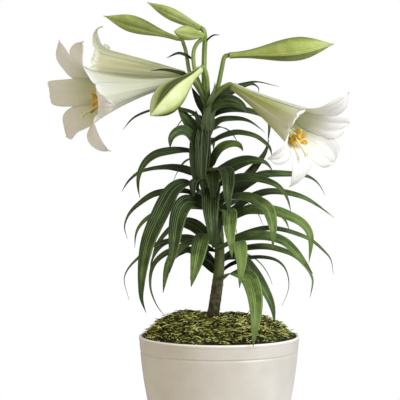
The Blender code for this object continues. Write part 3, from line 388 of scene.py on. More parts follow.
class Shader:
    """A node material in the making: a Principled shader and the nodes that feed it."""

    def __init__(self, name: str) -> None:
        """Start a material.

        Args:
            name: the material's name.
        """
        self.material = bpy.data.materials.new(name)
        self.material.use_nodes = True
        self.tree = self.material.node_tree
        self.body = self.tree.nodes["Principled BSDF"]

    def node(self, kind: str, inputs: dict, **settings: object) -> bpy.types.NodeOutputs:
        """Add a node, set its properties and feed its inputs.

        Args:
            kind: the node's type.
            inputs: what feeds its inputs, by name or number.
            **settings: its properties by name.

        Returns:
            The node's outputs.
        """
        made = self.tree.nodes.new(kind)
        for name, value in settings.items():
            setattr(made, name, value)
        for key, value in inputs.items():
            self.feed(made.inputs[key], value)
        return made.outputs

    def feed(self, socket: Socket, value: object) -> None:
        """Link a socket to another node's output, or set its value.

        Args:
            socket: the input.
            value: an output, a number or a colour.
        """
        if isinstance(value, Socket):
            self.tree.links.new(value, socket)
        else:
            socket.default_value = value

    def vector(self, projection: Projection = Projection.OBJECT, scale: tuple = (1.0, 1.0, 1.0)) -> Socket:
        """Coordinates of the surface, stretched along each axis."""
        place = self.node("ShaderNodeTexCoord", {})[projection.value]
        return self.node("ShaderNodeMapping", {"Vector": place, "Scale": scale})["Vector"]

    def part(self, vector: Socket, axis: str) -> Socket:
        """The coordinate of a vector along the axis with this letter."""
        return self.node("ShaderNodeSeparateXYZ", {0: vector})[axis]

    def across_along(self) -> tuple[Socket, Socket]:
        """The two coordinates of the piece's UV: across or round it, and along it."""
        uv = self.vector(Projection.UV)
        return self.part(uv, "X"), self.part(uv, "Y")

    def tint(self, name: str) -> Socket:
        """A tint that the piece's points carry."""
        return self.node("ShaderNodeAttribute", {}, attribute_name=name)["Fac"]

    def noise(self, vector: Socket, scale: float = 1.0, detail: float = 3.0,
              roughness: float = 0.55) -> Socket:
        """Clouds from 0 to 1, scale of them to a unit of length, with finer layers of some strength."""
        inputs = {"Vector": vector, "Scale": scale, "Detail": detail, "Roughness": roughness}
        return self.node("ShaderNodeTexNoise", inputs)[0]

    def cells(self, vector: Socket, scale: float) -> Socket:
        """Distance from the nearest of scattered points, scale of them to a unit of length."""
        return self.node("ShaderNodeTexVoronoi", {"Vector": vector, "Scale": scale})["Distance"]

    def reckon(self, step: str, first: object, *more: object) -> Socket:
        """Arithmetic on values: the first with the second, the result with the third, and so on.

        Args:
            step: the Math node's word for it.
            first: a number or an output.
            *more: further ones, if the step takes any.

        Returns:
            The result.
        """
        for value in more or (0.0,):
            first = self.node("ShaderNodeMath", {0: first, 1: value}, operation=step)[0]
        return first

    def total(self, *values: object) -> Socket:
        """Sum of values."""
        return self.reckon("ADD", *values)

    def product(self, *values: object) -> Socket:
        """Product of values."""
        return self.reckon("MULTIPLY", *values)

    def waves(self, value: Socket, count: int) -> Socket:
        """Sine waves, count of them while the value goes from 0 to 1."""
        return self.reckon("SINE", self.product(value, 2 * math.pi * count))

    def off_middle(self, across: Socket) -> Socket:
        """Distance of the coordinate across a blade from the blade's middle line."""
        return self.reckon("ABSOLUTE", self.reckon("SUBTRACT", across, 0.5))

    def span(self, value: Socket, low: float, high: float, to_low: float = 0.0,
             to_high: float = 1.0) -> Socket:
        """A value's range from low to high brought to another range, smooth at both ends."""
        inputs = dict(enumerate((value, low, high, to_low, to_high)))
        return self.node("ShaderNodeMapRange", inputs, interpolation_type="SMOOTHSTEP")[0]

    def ramp(self, value: Socket, stops: tuple) -> Socket:
        """Colours along a value.

        Args:
            value: the value from 0 to 1.
            stops: pairs of position and colour, in order.

        Returns:
            The colour.
        """
        made = self.node("ShaderNodeValToRGB", {0: value})["Color"]
        elements = made.node.color_ramp.elements
        while len(elements) < len(stops):
            elements.new(0.5)
        for element, (position, colour) in zip(elements, stops):
            element.position = position
            element.color = (*colour, 1.0)
        return made

    def mix(self, factor: object, first: object, second: object) -> Socket:
        """Two colours mixed, with the factor as the share of the second."""
        ends = [(*colour, 1.0) if isinstance(colour, tuple) else colour for colour in (first, second)]
        return self.node("ShaderNodeMix", {0: factor, 6: ends[0], 7: ends[1]}, data_type="RGBA")[2]

    def relief(self, height: Socket, depth: float, strength: float = 1.0) -> None:
        """Raise a share of a fine relief by a height pattern, a full step of it being depth metres."""
        inputs = {"Distance": depth, "Strength": strength, "Height": height}
        self.surface(Normal=self.node("ShaderNodeBump", inputs)["Normal"])

    def surface(self, **values: object) -> None:
        """Feed the Principled shader's own sockets; an underscore in a name stands for a space."""
        for name, value in values.items():
            self.feed(self.body.inputs[name.replace("_", " ")], value)


@dataclass(frozen=True)
class Finish:
    """A finish: its material's name, and the patterns that its kind paints."""

    name: str

    def paint(self, skin: Shader) -> None:
        """Add this kind's patterns to a new material."""
        raise NotImplementedError

    def material(self) -> Material:
        """Build the finish's material.

        Returns:
            The material.
        """
        skin = Shader(self.name)
        self.paint(skin)
        return skin.material


@dataclass(frozen=True)
class GlazeFinish(Finish):
    """Cream glaze on the pot: faint clouds, fine pits, a soft gloss and a painted highlight along the lip.
    """

    name: str = "cream_glaze"
    light: tuple = (0.585, 0.565, 0.535)
    dark: tuple = (0.51, 0.485, 0.44)
    speck: tuple = (0.36, 0.31, 0.24)
    lip_highlight: tuple = (0.88, 0.86, 0.81)
    lip_edge: tuple = (0.1478, 0.1492)
    lip_highlight_share: float = 0.85
    gloss: tuple = (0.4, 0.52)

    def paint(self, skin: Shader) -> None:
        """Cloud the glaze, streak and speck it, and paint a pale highlight along the top of the lip.

        Args:
            skin: the new material.
        """
        place = skin.vector()
        clouds = skin.noise(place, scale=22.0, detail=4.0)
        streaks = skin.noise(skin.vector(scale=(14.0, 14.0, 160.0)))
        base = skin.mix(skin.span(clouds, 0.3, 0.7), self.dark, self.light)
        base = skin.mix(skin.span(streaks, 0.62, 0.8, 0.0, 0.18), base, self.dark)
        specks = skin.span(skin.cells(place, scale=190.0), 0.06, 0.1, 0.35, 0.0)
        base = skin.mix(specks, base, self.speck)
        # painted highlight: a pale band along the top of the lip
        lip = skin.span(skin.part(place, "Z"), *self.lip_edge, 0.0, self.lip_highlight_share)
        grain = skin.noise(place, scale=900.0, detail=2.0)
        skin.relief(skin.total(grain, skin.product(streaks, 1.5)), depth=0.00012, strength=0.5)
        skin.surface(Base_Color=skin.mix(lip, base, self.lip_highlight), Coat_Weight=0.12, Coat_Roughness=0.3,
                     Roughness=skin.span(clouds, 0.2, 0.8, *self.gloss))


@dataclass(frozen=True)
class SoilFinish(Finish):
    """Moist potting soil: dark crumbs with bark and a few pale grains."""

    name: str = "dark_soil"
    dark: tuple = (0.018, 0.012, 0.008)
    light: tuple = (0.07, 0.045, 0.028)
    grain: tuple = (0.45, 0.42, 0.36)

    def paint(self, skin: Shader) -> None:
        """Cloud the soil, strew the grains and raise the crumbs.

        Args:
            skin: the new material.
        """
        place = skin.vector()
        clouds = skin.noise(place, scale=120.0, detail=5.0)
        base = skin.mix(skin.span(clouds, 0.35, 0.65), self.dark, self.light)
        pale = skin.span(skin.cells(place, scale=140.0), 0.09, 0.12, 1.0, 0.0)
        skin.relief(skin.total(skin.cells(place, scale=260.0), clouds), depth=0.0012)
        skin.surface(Base_Color=skin.mix(pale, base, self.grain), Roughness=0.95)


@dataclass(frozen=True)
class MossFinish(Finish):
    """Moss: olive, green and straw-coloured by the strand, with painted shade low down that the tone
    carries.
    """

    name: str = "moss_green"
    stops: tuple = (
        (0.0, (0.004, 0.005, 0.001)),
        (0.25, (0.034, 0.042, 0.007)),
        (0.52, (0.135, 0.152, 0.021)),
        (0.78, (0.41, 0.42, 0.072)),
        (1.0, (0.78, 0.78, 0.30)),
    )

    def paint(self, skin: Shader) -> None:
        """Colour each strand by its tone, varied by patches and by fine noise.

        Args:
            skin: the new material.
        """
        place = skin.vector()
        patches = skin.noise(place, scale=55.0)
        fine = skin.noise(place, scale=700.0)
        value = skin.total(skin.tint("tone"), skin.span(patches, 0.3, 0.7, -0.16, 0.14),
                           skin.span(fine, 0.3, 0.7, -0.1, 0.1))
        skin.relief(fine, depth=0.0005)
        skin.surface(Base_Color=skin.ramp(value, self.stops), Roughness=0.85, Specular_IOR_Level=0.25)


@dataclass(frozen=True)
class BulbFinish(Finish):
    """Fleshy cream bulb scales with brown papery spots and fine ribs."""

    name: str = "bulb_cream"
    flesh: tuple = (0.62, 0.55, 0.36)
    paper: tuple = (0.30, 0.19, 0.08)

    def paint(self, skin: Shader) -> None:
        """Spot the flesh and raise the ribs.

        Args:
            skin: the new material.
        """
        ribs = skin.noise(skin.vector(scale=(220.0, 220.0, 26.0)))
        spots = skin.noise(skin.vector(), scale=90.0, detail=4.0)
        skin.relief(ribs, depth=0.0006)
        skin.surface(Base_Color=skin.mix(skin.span(spots, 0.5, 0.72), self.flesh, self.paper),
                     Roughness=0.65)


@dataclass(frozen=True)
class StalkFinish(Finish):
    """The stalk: brown scarred bark low down that turns to smooth green above."""

    name: str = "stalk_bark"
    bark_dark: tuple = (0.020, 0.012, 0.006)
    bark_light: tuple = (0.125, 0.120, 0.036)
    green: tuple = (0.062, 0.108, 0.017)
    bark_top: float = 0.208
    bark_fade: float = 0.012
    foot: tuple = (0.165, 0.19)

    def paint(self, skin: Shader) -> None:
        """Blotch the bark, darker at its foot, and let it fade into the green above.

        Args:
            skin: the new material.
        """
        height = skin.part(skin.vector(), "Z")
        blotches = skin.noise(skin.vector(scale=(1.0, 1.0, 0.6)), scale=300.0, detail=4.0, roughness=0.7)
        fibres = skin.noise(skin.vector(scale=(700.0, 700.0, 60.0)))
        foot = skin.span(height, *self.foot, 0.45, 0.0)
        value = skin.reckon("SUBTRACT", skin.span(blotches, 0.38, 0.66), foot)
        bark = skin.mix(value, self.bark_dark, self.bark_light)
        upper = skin.mix(skin.span(fibres, 0.3, 0.7, 0.0, 0.5), self.green, self.bark_light)
        share = skin.span(height, self.bark_top - self.bark_fade, self.bark_top + self.bark_fade)
        skin.relief(skin.total(blotches, fibres), depth=0.0009)
        skin.surface(Base_Color=skin.mix(share, bark, upper), Roughness=0.6)


@dataclass(frozen=True)
class FlowerStalkFinish(Finish):
    """Smooth light green flower stalks with fine lengthwise lines, darker low down."""

    name: str = "flower_stalk_green"
    light: tuple = (0.24, 0.33, 0.072)
    dark: tuple = (0.060, 0.095, 0.014)
    lines: int = 9
    low: tuple = (0.38, 0.415)

    def paint(self, skin: Shader) -> None:
        """Cloud the green, line it and darken it near the stalk.

        Args:
            skin: the new material.
        """
        lines = skin.waves(skin.part(skin.vector(Projection.UV), "X"), self.lines)
        clouds = skin.noise(skin.vector(scale=(1.0, 1.0, 0.3)), scale=160.0)
        value = skin.total(skin.span(clouds, 0.3, 0.7, 0.0, 0.75), skin.span(lines, -1.0, 1.0, 0.0, 0.25))
        low = skin.span(skin.part(skin.vector(), "Z"), *self.low, 0.85, 0.0)
        base = skin.mix(value, self.light, skin.mix(0.5, self.light, self.dark))
        skin.relief(lines, depth=0.00012)
        skin.surface(Base_Color=skin.mix(low, base, self.dark), Roughness=0.42)


@dataclass(frozen=True)
class LeafFinish(Finish):
    """Glossy lance-shaped leaf: dark green above, greyer below, with a pale rib and parallel veins."""

    name: str = "leaf_green"
    dark: tuple = (0.007, 0.018, 0.004)
    middle: tuple = (0.026, 0.058, 0.011)
    light: tuple = (0.170, 0.262, 0.060)
    under: tuple = (0.15, 0.19, 0.085)
    rib: tuple = (0.26, 0.33, 0.15)
    veins: int = 9
    rib_edge: tuple = (0.015, 0.06)
    margin_edge: tuple = (0.44, 0.49)
    gloss: tuple = (0.34, 0.5)

    def paint(self, skin: Shader) -> None:
        """Shade the blade by its tone, clouds, streaks and the way along; then rib, edges and veins.

        Args:
            skin: the new material.
        """
        across, along = skin.across_along()
        clouds = skin.noise(skin.vector(), scale=70.0, detail=4.0)
        streaks = skin.noise(skin.vector(Projection.UV, scale=(26.0, 2.2, 1.0)))
        value = skin.total(
            skin.tint("tone"), skin.span(clouds, 0.3, 0.7, -0.16, 0.16),
            skin.span(streaks, 0.34, 0.66, -0.2, 0.2), skin.span(along, 0.05, 0.8, -0.25, 0.06))
        face = skin.ramp(value, ((0.1, self.dark), (0.5, self.middle), (0.95, self.light)))
        turned = skin.span(skin.tint("tone"), -0.1, 0.3, 0.15, 0.75)
        face = skin.mix(skin.product(skin.tint("side"), turned), face, self.under)
        off = skin.off_middle(across)
        lines = skin.waves(across, self.veins)
        vein = skin.product(skin.span(lines, 0.4, 1.0), skin.span(streaks, 0.36, 0.64, 0.10, 0.62))
        pale = skin.reckon("MAXIMUM", skin.span(off, *self.rib_edge, 0.22, 0.0),
                           skin.span(off, *self.margin_edge, 0.0, 0.5), vein)
        skin.relief(skin.total(lines, skin.product(streaks, 2.0)), depth=0.00022, strength=0.7)
        skin.surface(Base_Color=skin.mix(pale, face, self.rib), Specular_IOR_Level=0.17,
                     Roughness=skin.span(clouds, 0.2, 0.8, *self.gloss))


@dataclass(frozen=True)
class TepalFinish(Finish):
    """Waxy white tepal: fine lengthwise veins, green along the outer rib and down in the throat."""

    name: str = "tepal_white"
    white: tuple = (0.86, 0.855, 0.825)
    shade: tuple = (0.74, 0.735, 0.68)
    skin: tuple = (0.66, 0.66, 0.55)
    green: tuple = (0.36, 0.41, 0.13)
    throat: tuple = (0.62, 0.66, 0.33)
    veins: int = 17
    gloss: tuple = (0.46, 0.6)

    def paint(self, skin: Shader) -> None:
        """Shade the white by streaks, then tint its outside along the rib and its inside low down.

        Args:
            skin: the new material.
        """
        across, along = skin.across_along()
        streaks = skin.noise(skin.vector(Projection.UV, scale=(22.0, 1.6, 1.0)))
        clouds = skin.noise(skin.vector(), scale=60.0)
        inner = skin.tint("side")
        outer = skin.reckon("SUBTRACT", 1.0, inner)
        face = skin.mix(skin.span(streaks, 0.35, 0.75, 0.0, 0.55), self.white, self.shade)
        low = skin.product(skin.span(along, 0.35, 0.62, 1.0, 0.0), outer)
        face = skin.mix(low, face, self.skin)
        band = skin.product(
            skin.span(skin.off_middle(across), 0.03, 0.5, 1.0, 0.35),
            skin.span(along, 0.0, 0.8, 1.0, 0.0), skin.span(streaks, 0.25, 0.75, 0.75, 1.1),
            skin.tint("green"), outer)
        face = skin.mix(band, face, self.green)
        inside = skin.product(skin.span(along, 0.25, 0.74, 0.9, 0.0), inner)
        lines = skin.product(skin.waves(across, self.veins), 0.4)
        skin.relief(skin.total(lines, skin.product(streaks, 3.0), clouds), depth=0.00028, strength=0.6)
        skin.surface(Base_Color=skin.mix(inside, face, self.throat), Specular_IOR_Level=0.35,
                     Roughness=skin.span(streaks, 0.2, 0.8, *self.gloss), Subsurface_Weight=0.25,
                     Subsurface_Scale=0.004, Subsurface_Radius=(1.0, 0.95, 0.7))


@dataclass(frozen=True)
class BudFinish(Finish):
    """Closed bud: yellow-green, with the painted shade beside its ridges and the painted highlight on them
    that the tone carries, paler towards its tip.
    """

    light: tuple = (0.37, 0.45, 0.115)
    dark: tuple = (0.055, 0.078, 0.012)
    pale: tuple = (0.68, 0.75, 0.42)
    veins: int = 30

    def paint(self, skin: Shader) -> None:
        """Colour the bud by its tone, varied by streaks and veins, and paler at its tip.

        Args:
            skin: the new material.
        """
        turn, along = skin.across_along()
        lines = skin.waves(turn, self.veins)
        streaks = skin.noise(skin.vector(), scale=110.0, detail=4.0)
        value = skin.total(
            skin.tint("tone"), skin.span(streaks, 0.3, 0.7, -0.06, 0.06),
            skin.span(lines, -1.0, 1.0, -0.025, 0.025), skin.span(along, 0.75, 1.0, 0.0, 0.16))
        stops = ((0.05, self.dark), (0.5, self.light), (1.0, self.pale))
        skin.relief(skin.total(lines, skin.product(streaks, 2.0)), depth=0.00022, strength=0.6)
        skin.surface(Base_Color=skin.ramp(value, stops), Roughness=0.45, Subsurface_Weight=0.12,
                     Subsurface_Scale=0.003, Subsurface_Radius=(0.7, 1.0, 0.3))


@dataclass(frozen=True)
class AntherFinish(Finish):
    """Pollen-covered anther: golden orange grains."""

    name: str = "anther_pollen"
    light: tuple = (0.90, 0.58, 0.075)
    dark: tuple = (0.48, 0.24, 0.016)

    def paint(self, skin: Shader) -> None:
        """Cloud the gold and raise the grains.

        Args:
            skin: the new material.
        """
        place = skin.vector()
        clouds = skin.span(skin.noise(place, scale=330.0), 0.35, 0.7)
        skin.relief(skin.cells(place, scale=2600.0), depth=0.0003)
        skin.surface(Base_Color=skin.mix(clouds, self.light, self.dark), Roughness=0.9)


@dataclass(frozen=True)
class PistilFinish(Finish):
    """Pale green filaments, style and stigma, whiter towards their ends."""

    name: str = "pistil_green"
    foot: tuple = (0.50, 0.58, 0.22)
    end: tuple = (0.80, 0.82, 0.58)

    def paint(self, skin: Shader) -> None:
        """Fade from green to pale along each bar, a little clouded.

        Args:
            skin: the new material.
        """
        along = skin.part(skin.vector(Projection.UV), "Y")
        clouds = skin.noise(skin.vector(), scale=500.0)
        value = skin.total(along, skin.span(clouds, 0.3, 0.7, -0.15, 0.15))
        skin.relief(clouds, depth=0.00015)
        skin.surface(Base_Color=skin.mix(skin.span(value, 0.0, 1.0), self.foot, self.end),
                     Roughness=0.4, Subsurface_Weight=0.1, Subsurface_Scale=0.002)


# Pieces


def add_object(name: str, data: bpy.types.ID) -> bpy.types.Object:
    """Put a new object with its data into the scene.

    Args:
        name: the object's name.
        data: its mesh, light or camera.

    Returns:
        The object.
    """
    made = bpy.data.objects.new(name, data)
    bpy.context.scene.collection.objects.link(made)
    return made


def add_piece(name: str, surface: Surface, material: Material,
              nodes: tuple[str, ...]) -> bpy.types.Object:
    """Put a surface into the scene as one piece that rides on the body.

    Args:
        name: the piece's name.
        surface: its mesh in arrays.
        material: its finish.
        nodes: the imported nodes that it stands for.

    Returns:
        The piece.
    """
    mesh = surface.mesh(name)
    corners = np.concatenate((surface.quad_uv.reshape(-1, 2), surface.tri_uv.reshape(-1, 2)))
    mesh.uv_layers.new(name="UVMap").data.foreach_set("uv", corners.ravel().astype(np.float32))
    for tint, values in surface.tints.items():
        layer = mesh.attributes.new(tint, "FLOAT", "POINT")
        layer.data.foreach_set("value", np.ascontiguousarray(values, np.float32))
    mesh.shade_smooth()
    mesh.materials.append(material)
    piece = add_object(name, mesh)
    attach(piece, BODY)
    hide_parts(*nodes)
    LOG.info("%s: %d triangles", name, 2 * len(surface.quads) + len(surface.tris))
    return piece


def dress_node(name: str, material: Material) -> None:
    """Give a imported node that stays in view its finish.

    Args:
        name: the node's name.
        material: its finish.
    """
    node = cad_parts[name]
    node.data.materials.clear()
    node.data.materials.append(material)
    LOG.info("%s: packed node with a new finish", name)


# Pot, soil, moss and bulb


@dataclass
class Pot:
    """Round pot with a rolled lip, a rim band that ends in a fine groove, and drain holes.

    Outline points next to the lip, the groove and the foot are pairs in millimetres, outward and up.
    """

    height: float = 150.0 * MM
    rim: float = 82.5 * MM
    lip: float = 79.2 * MM
    lip_depth: float = 5.0 * MM
    lip_edge: float = 0.4 * MM
    rim_edge: float = 0.6 * MM
    wall: float = 3.4 * MM
    inside: tuple = (12.0 * MM, 140.0 * MM)
    floor: float = 4.0 * MM
    floor_edge: float = 1.0 * MM
    step: float = 146.0 * MM
    step_edge: tuple = (-0.1 * MM, 0.8 * MM)
    groove: float = 134.5 * MM
    groove_outline: tuple = ((0.25, 1.3), (-0.5, 0.5), (-0.9, 0.0), (-0.55, -0.7), (-0.2, -1.6))
    band_ends: tuple = (-2.0 * MM, 3.0 * MM)
    fall_ends: tuple = (-6.0 * MM, 3.0 * MM)
    foot: tuple = (1.5 * MM, 1.2 * MM)
    rounding: float = 1.2 * MM
    drain_radius: float = 4.0 * MM
    drain_circle: float = 34.0 * MM
    drain_reach: float = 20.0 * MM
    drains: int = 6
    drain_sides: int = 24
    turns: int = 160
    side: tuple = ((0, 56), (20, 60.6), (43, 65.4), (65, 70.1), (86, 74.2), (103, 77.3),
                   (118, 79.4), (132, 80.9), (150, 82.5))

    def radius(self, height: np.ndarray | float) -> np.ndarray:
        """Outer radius at a height: a smooth line through the side's points."""
        course = through(np.asarray(self.side)[:, ::-1] * MM, 60)
        return np.interp(height, course[:, 1], course[:, 0])

    def wall_points(self, start: float, end: float, count: int, inset: float = 0.0) -> np.ndarray:
        """Rows of radius and height at even heights of the wall, inset from its outer radius."""
        height = np.linspace(start, end, count)
        return np.column_stack((self.radius(height) - inset, height))

    def outline(self) -> np.ndarray:
        """Outline from the floor's middle up the inside, over the lip and down the outside.

        Returns:
            Rows of radius and height.
        """
        base = self.radius(0.0)
        edge = np.array((self.radius(self.groove), self.groove))
        corners = (
            ((POLE, self.floor), (base - self.wall - self.floor_edge, self.floor)),
            self.wall_points(*self.inside, 24, self.wall),
            ((self.lip, self.height - self.lip_depth), (self.lip, self.height - self.lip_edge),
             (0.5 * (self.lip + self.rim), self.height),
             (self.rim, self.height - self.rim_edge), (self.rim, self.step + self.step_edge[1]),
             (self.radius(self.step) + self.step_edge[0], self.step)),
            self.wall_points(self.step + self.band_ends[0], self.groove + self.band_ends[1], 5),
            edge + np.array(self.groove_outline) * MM,
            self.wall_points(self.groove + self.fall_ends[0], self.fall_ends[1], 30),
            ((base, self.foot[1]), (base - self.foot[0], 0.0), (POLE, 0.0)),
        )
        return rounded(np.concatenate([np.array(part) for part in corners]), self.rounding, 4)

    def bores(self) -> Surface:
        """Round bars where the drain holes go.

        Returns:
            The closed bars in one surface.
        """
        reach = self.drain_reach
        side = self.drain_radius
        bar = np.array(((POLE, reach), (side, reach), (side, -reach), (POLE, -reach)))
        angles = 2 * np.pi * (np.arange(self.drains) + 0.5) / self.drains
        return joined([
            lathe(bar, self.drain_sides, (self.drain_circle * math.cos(a), self.drain_circle * math.sin(a)))
            for a in angles
        ])

    def build(self) -> None:
        """Turn the outline, bore the drain holes and add the pot."""
        surface = lathe(self.outline(), self.turns)
        pot = add_piece("glazed_pot", surface, GlazeFinish().material(), ("pot",))
        tool = add_object("bores", self.bores().mesh("bores"))
        bore = pot.modifiers.new("bore", "BOOLEAN")
        bore.operation = "DIFFERENCE"
        bore.solver = "EXACT"
        bore.object = tool
        bpy.context.view_layer.update()
        view = bpy.context.evaluated_depsgraph_get()
        bored = bpy.data.meshes.new_from_object(pot.evaluated_get(view), depsgraph=view)
        pot.modifiers.clear()
        pot.data = bored
        bpy.data.objects.remove(tool, do_unlink=True)


@dataclass(frozen=True)
class StrandLayer:
    """A layer of moss strands: number, steps, ranges of length, radius and tone, and greatest curl."""

    name: str
    count: int
    steps: int
    length: tuple
    radius: tuple
    tones: tuple
    curl: float


@dataclass
class Moss:
    """Moss dressing: a lumpy bed with short strands that lie over it in all directions.

    Humps are rows of place across, place in depth, two widths and rise, in millimetres.
    """

    lip: float = 79.2 * MM
    outer: float = 78.3 * MM
    under: float = 76.9 * MM
    hole: float = 7.3 * MM
    stalk_x: float = -6.4 * MM
    edge_height: float = 147.5 * MM
    dome: float = 21.0 * MM
    dome_power: float = 0.75
    lump: float = 2.6 * MM
    lump_waves: tuple = (4.3 * MM, 6.1 * MM, 4.9 * MM)
    soil_edge: float = 133.0 * MM
    soil_dome: float = 17.0 * MM
    soil_gap: float = 0.8 * MM
    crumb_height: float = 0.55 * MM
    crumb_drop: float = 0.9 * MM
    humps: tuple = (
        (-40, 12, 26, 30, 7),
        (38, 10, 30, 28, 3),
        (-6.4, 0, 9, 14, -4.5),
    )
    rings: int = 90
    under_rings: int = 6
    spokes: int = 300
    layers: tuple = (
        StrandLayer("moss_strands_low", 7600, 4, (5, 10), (0.35, 0.65), (0, 0.45), 2),
        StrandLayer("moss_strands_high", 4600, 6, (7, 13), (0.3, 0.55), (0.15, 1.3), 4.5),
        StrandLayer("moss_strands_fine", 7600, 4, (4, 8), (0.25, 0.42), (0.05, 1.45), 3),
    )
    root_depth: float = 1.2 * MM
    stalk_room: float = 1.5 * MM
    stalk_move: float = 12.0 * MM
    rim_zone: float = 13.0 * MM
    rim_turn: float = 1.1
    lifts: tuple = (8.0, 50.0)
    falls: tuple = (5.0, 50.0)

    def height(self, x: np.ndarray, y: np.ndarray) -> np.ndarray:
        """Height of the bed: a dome, bell-shaped humps and the product of two waves.

        Args:
            x: places across.
            y: places in depth.

        Returns:
            Heights in metres.
        """
        share = limited(np.hypot(x, y) / self.lip)
        height = self.edge_height + self.dome * (1.0 - share**2) ** self.dome_power
        for hump in self.humps:
            hump_x, hump_y, wide_x, wide_y, rise = np.array(hump) * MM
            height = height + rise * np.exp(-(((x - hump_x) / wide_x) ** 2 + ((y - hump_y) / wide_y) ** 2))
        across, bend, deep = self.lump_waves
        wave = np.sin(x / across + 1.7 * np.sin(y / bend)) * np.sin(y / deep + 1.3)
        return height + self.lump * wave * limited((1.0 - share) * 6.0)

    def crumb(self, x: np.ndarray, y: np.ndarray) -> np.ndarray:
        """Fine unevenness of the bed: three crossed waves 5 to 8 mm long, below the bed's own height.

        Args:
            x: places across.
            y: places in depth.

        Returns:
            Heights in metres.
        """
        first = np.sin(x / (0.9 * MM) + 2.1 * np.sin(y / (1.7 * MM)))
        second = np.sin(y / (0.8 * MM) + 1.9 * np.sin(x / (1.3 * MM)))
        third = np.sin((x + y) / (1.9 * MM))
        return self.crumb_height * (first * second + 0.6 * third) - self.crumb_drop

    def bed(self) -> Surface:
        """Closed ring of the bed: its top from the stalk's hole out to the pot, and its underside.

        Returns:
            The surface, with the tint "tone", which is painted shade: darker in the hollows of the crumb.
        """
        angle = circle_angles(self.spokes)
        circle = np.stack((np.cos(angle), np.sin(angle)))[:, None]
        hole = np.array((self.stalk_x, 0.0))[:, None, None] + self.hole * circle
        share = np.linspace(0.0, 1.0, self.rings)[:, None]
        x, y = hole + share * (self.outer * circle - hole)
        fade = limited(12.0 * np.minimum(share, 1.0 - share))
        crumb = self.crumb(x, y)
        top = np.stack((x, y, self.height(x, y) + crumb * fade), axis=-1)
        x, y = hole + np.linspace(1.0, 0.0, self.under_rings)[:, None] * (self.under * circle - hole)
        reach = np.hypot(x, y) / self.lip
        low = np.stack((x, y, self.soil_edge + self.soil_dome * (1.0 - reach**2) + self.soil_gap), axis=-1)
        rings = np.concatenate((top, low, top[:1]))
        quads, quad_uv = ring_quads(len(rings), self.spokes)
        last = (len(rings) - 1) * self.spokes
        quads = np.where(quads >= last, quads - last, quads)
        # painted shade: the tone falls with the crumb's height, darker in the hollows
        tone = np.concatenate((0.2 + crumb / (5 * MM), np.full(low.shape[:2], 0.1)))
        return Surface(rings[:-1].reshape(-1, 3), quads, quad_uv).tinted(tone=tone).outward()

    def strand_lines(self, chance: np.random.Generator, layer: StrandLayer) -> tuple:
        """Middle lines of a layer's strands, rooted in the bed.

        Each strand goes in even steps whose heading turns evenly and whose climb falls evenly. Near
        the rim the strands head inward, and beside the stalk they are moved off it.

        Args:
            chance: seeded random numbers.
            layer: number and sizes of the strands.

        Returns:
            Points of the lines and the direction of each step.
        """
        count, steps = layer.count, layer.steps
        reach = self.outer * np.sqrt(chance.uniform(0.012, 0.95, count))
        turn = chance.uniform(0.0, 2 * np.pi, count)
        x, y = reach * np.cos(turn), reach * np.sin(turn)
        near = np.hypot(x - self.stalk_x, y) < self.hole + self.stalk_room
        x = np.where(near, x + self.stalk_move * np.sign(x - self.stalk_x), x)
        root = np.stack((x, y, self.height(x, y) - self.root_depth), axis=-1)
        heading = chance.uniform(0.0, 2 * np.pi, count)
        inward = np.arctan2(-y, -x) + chance.uniform(-self.rim_turn, self.rim_turn, count)
        heading = np.where(reach > self.outer - self.rim_zone, inward, heading)
        middle = (np.arange(steps) + 0.5) / steps
        heading = heading[:, None] + chance.uniform(-layer.curl, layer.curl, count)[:, None] * middle
        lift = np.radians(chance.uniform(*self.lifts, count))[:, None]
        climb = lift - (lift + np.radians(chance.uniform(*self.falls, count))[:, None]) * middle
        ahead = np.stack((np.cos(heading) * np.cos(climb), np.sin(heading) * np.cos(climb),
                          np.sin(climb)), axis=-1)
        length = chance.uniform(*layer.length, count)[:, None, None] * MM
        line = root[:, None] + np.cumsum(ahead, axis=1) * length / steps
        return np.concatenate((root[:, None], line), axis=1), ahead

    def strand_corners(self, layer: StrandLayer) -> np.ndarray:
        """Triangles of three-sided spindles: a fan at each end and two triangles a side between rings.

        Args:
            layer: number and steps of the strands.

        Returns:
            Corners of all triangles.
        """
        low = np.arange(3) + 1
        high = np.roll(low, -1)
        inner, last = 3 * (layer.steps - 1), 3 * (layer.steps - 2)
        pattern = [np.stack((np.zeros(3, int), high, low), axis=-1)]
        for row in range(layer.steps - 2):
            pattern.append(np.stack((low, high, high + 3), axis=-1) + 3 * row)
            pattern.append(np.stack((low, high + 3, low + 3), axis=-1) + 3 * row)
        pattern.append(np.stack((np.full(3, inner + 1), low + last, high + last), axis=-1))
        starts = (inner + 2) * np.arange(layer.count)[:, None, None]
        return (np.concatenate(pattern)[None] + starts).reshape(-1, 3)

    def strand_field(self, chance: np.random.Generator, layer: StrandLayer) -> Surface:
        """A layer's strands as spindles of three sides, whose radius is a sine of the share of the way.

        Args:
            chance: seeded random numbers.
            layer: number and sizes of the strands.

        Returns:
            The closed spindles in one surface, with the tint "tone", darker at their roots as painted shade
            under the strands.
        """
        count, steps = layer.count, layer.steps
        line, ahead = self.strand_lines(chance, layer)
        aim = unit(ahead[:, 1:] + ahead[:, :-1])
        side = unit(np.cross(aim, Z_AXIS))
        upper = np.cross(side, aim)
        share = np.arange(1, steps) / steps
        radius = chance.uniform(*layer.radius, count)[:, None] * MM * np.sin(np.pi * share**0.8)
        angle = circle_angles(3)[:, None]
        circle = side[:, :, None] * np.cos(angle) + upper[:, :, None] * np.sin(angle)
        rings = line[:, 1:-1, None] + circle * radius[..., None, None]
        points = np.concatenate((line[:, :1], rings.reshape(count, -1, 3), line[:, -1:]), axis=1)
        tris = self.strand_corners(layer)
        along = np.concatenate(((0.0,), np.repeat(share, 3), (1.0,)))
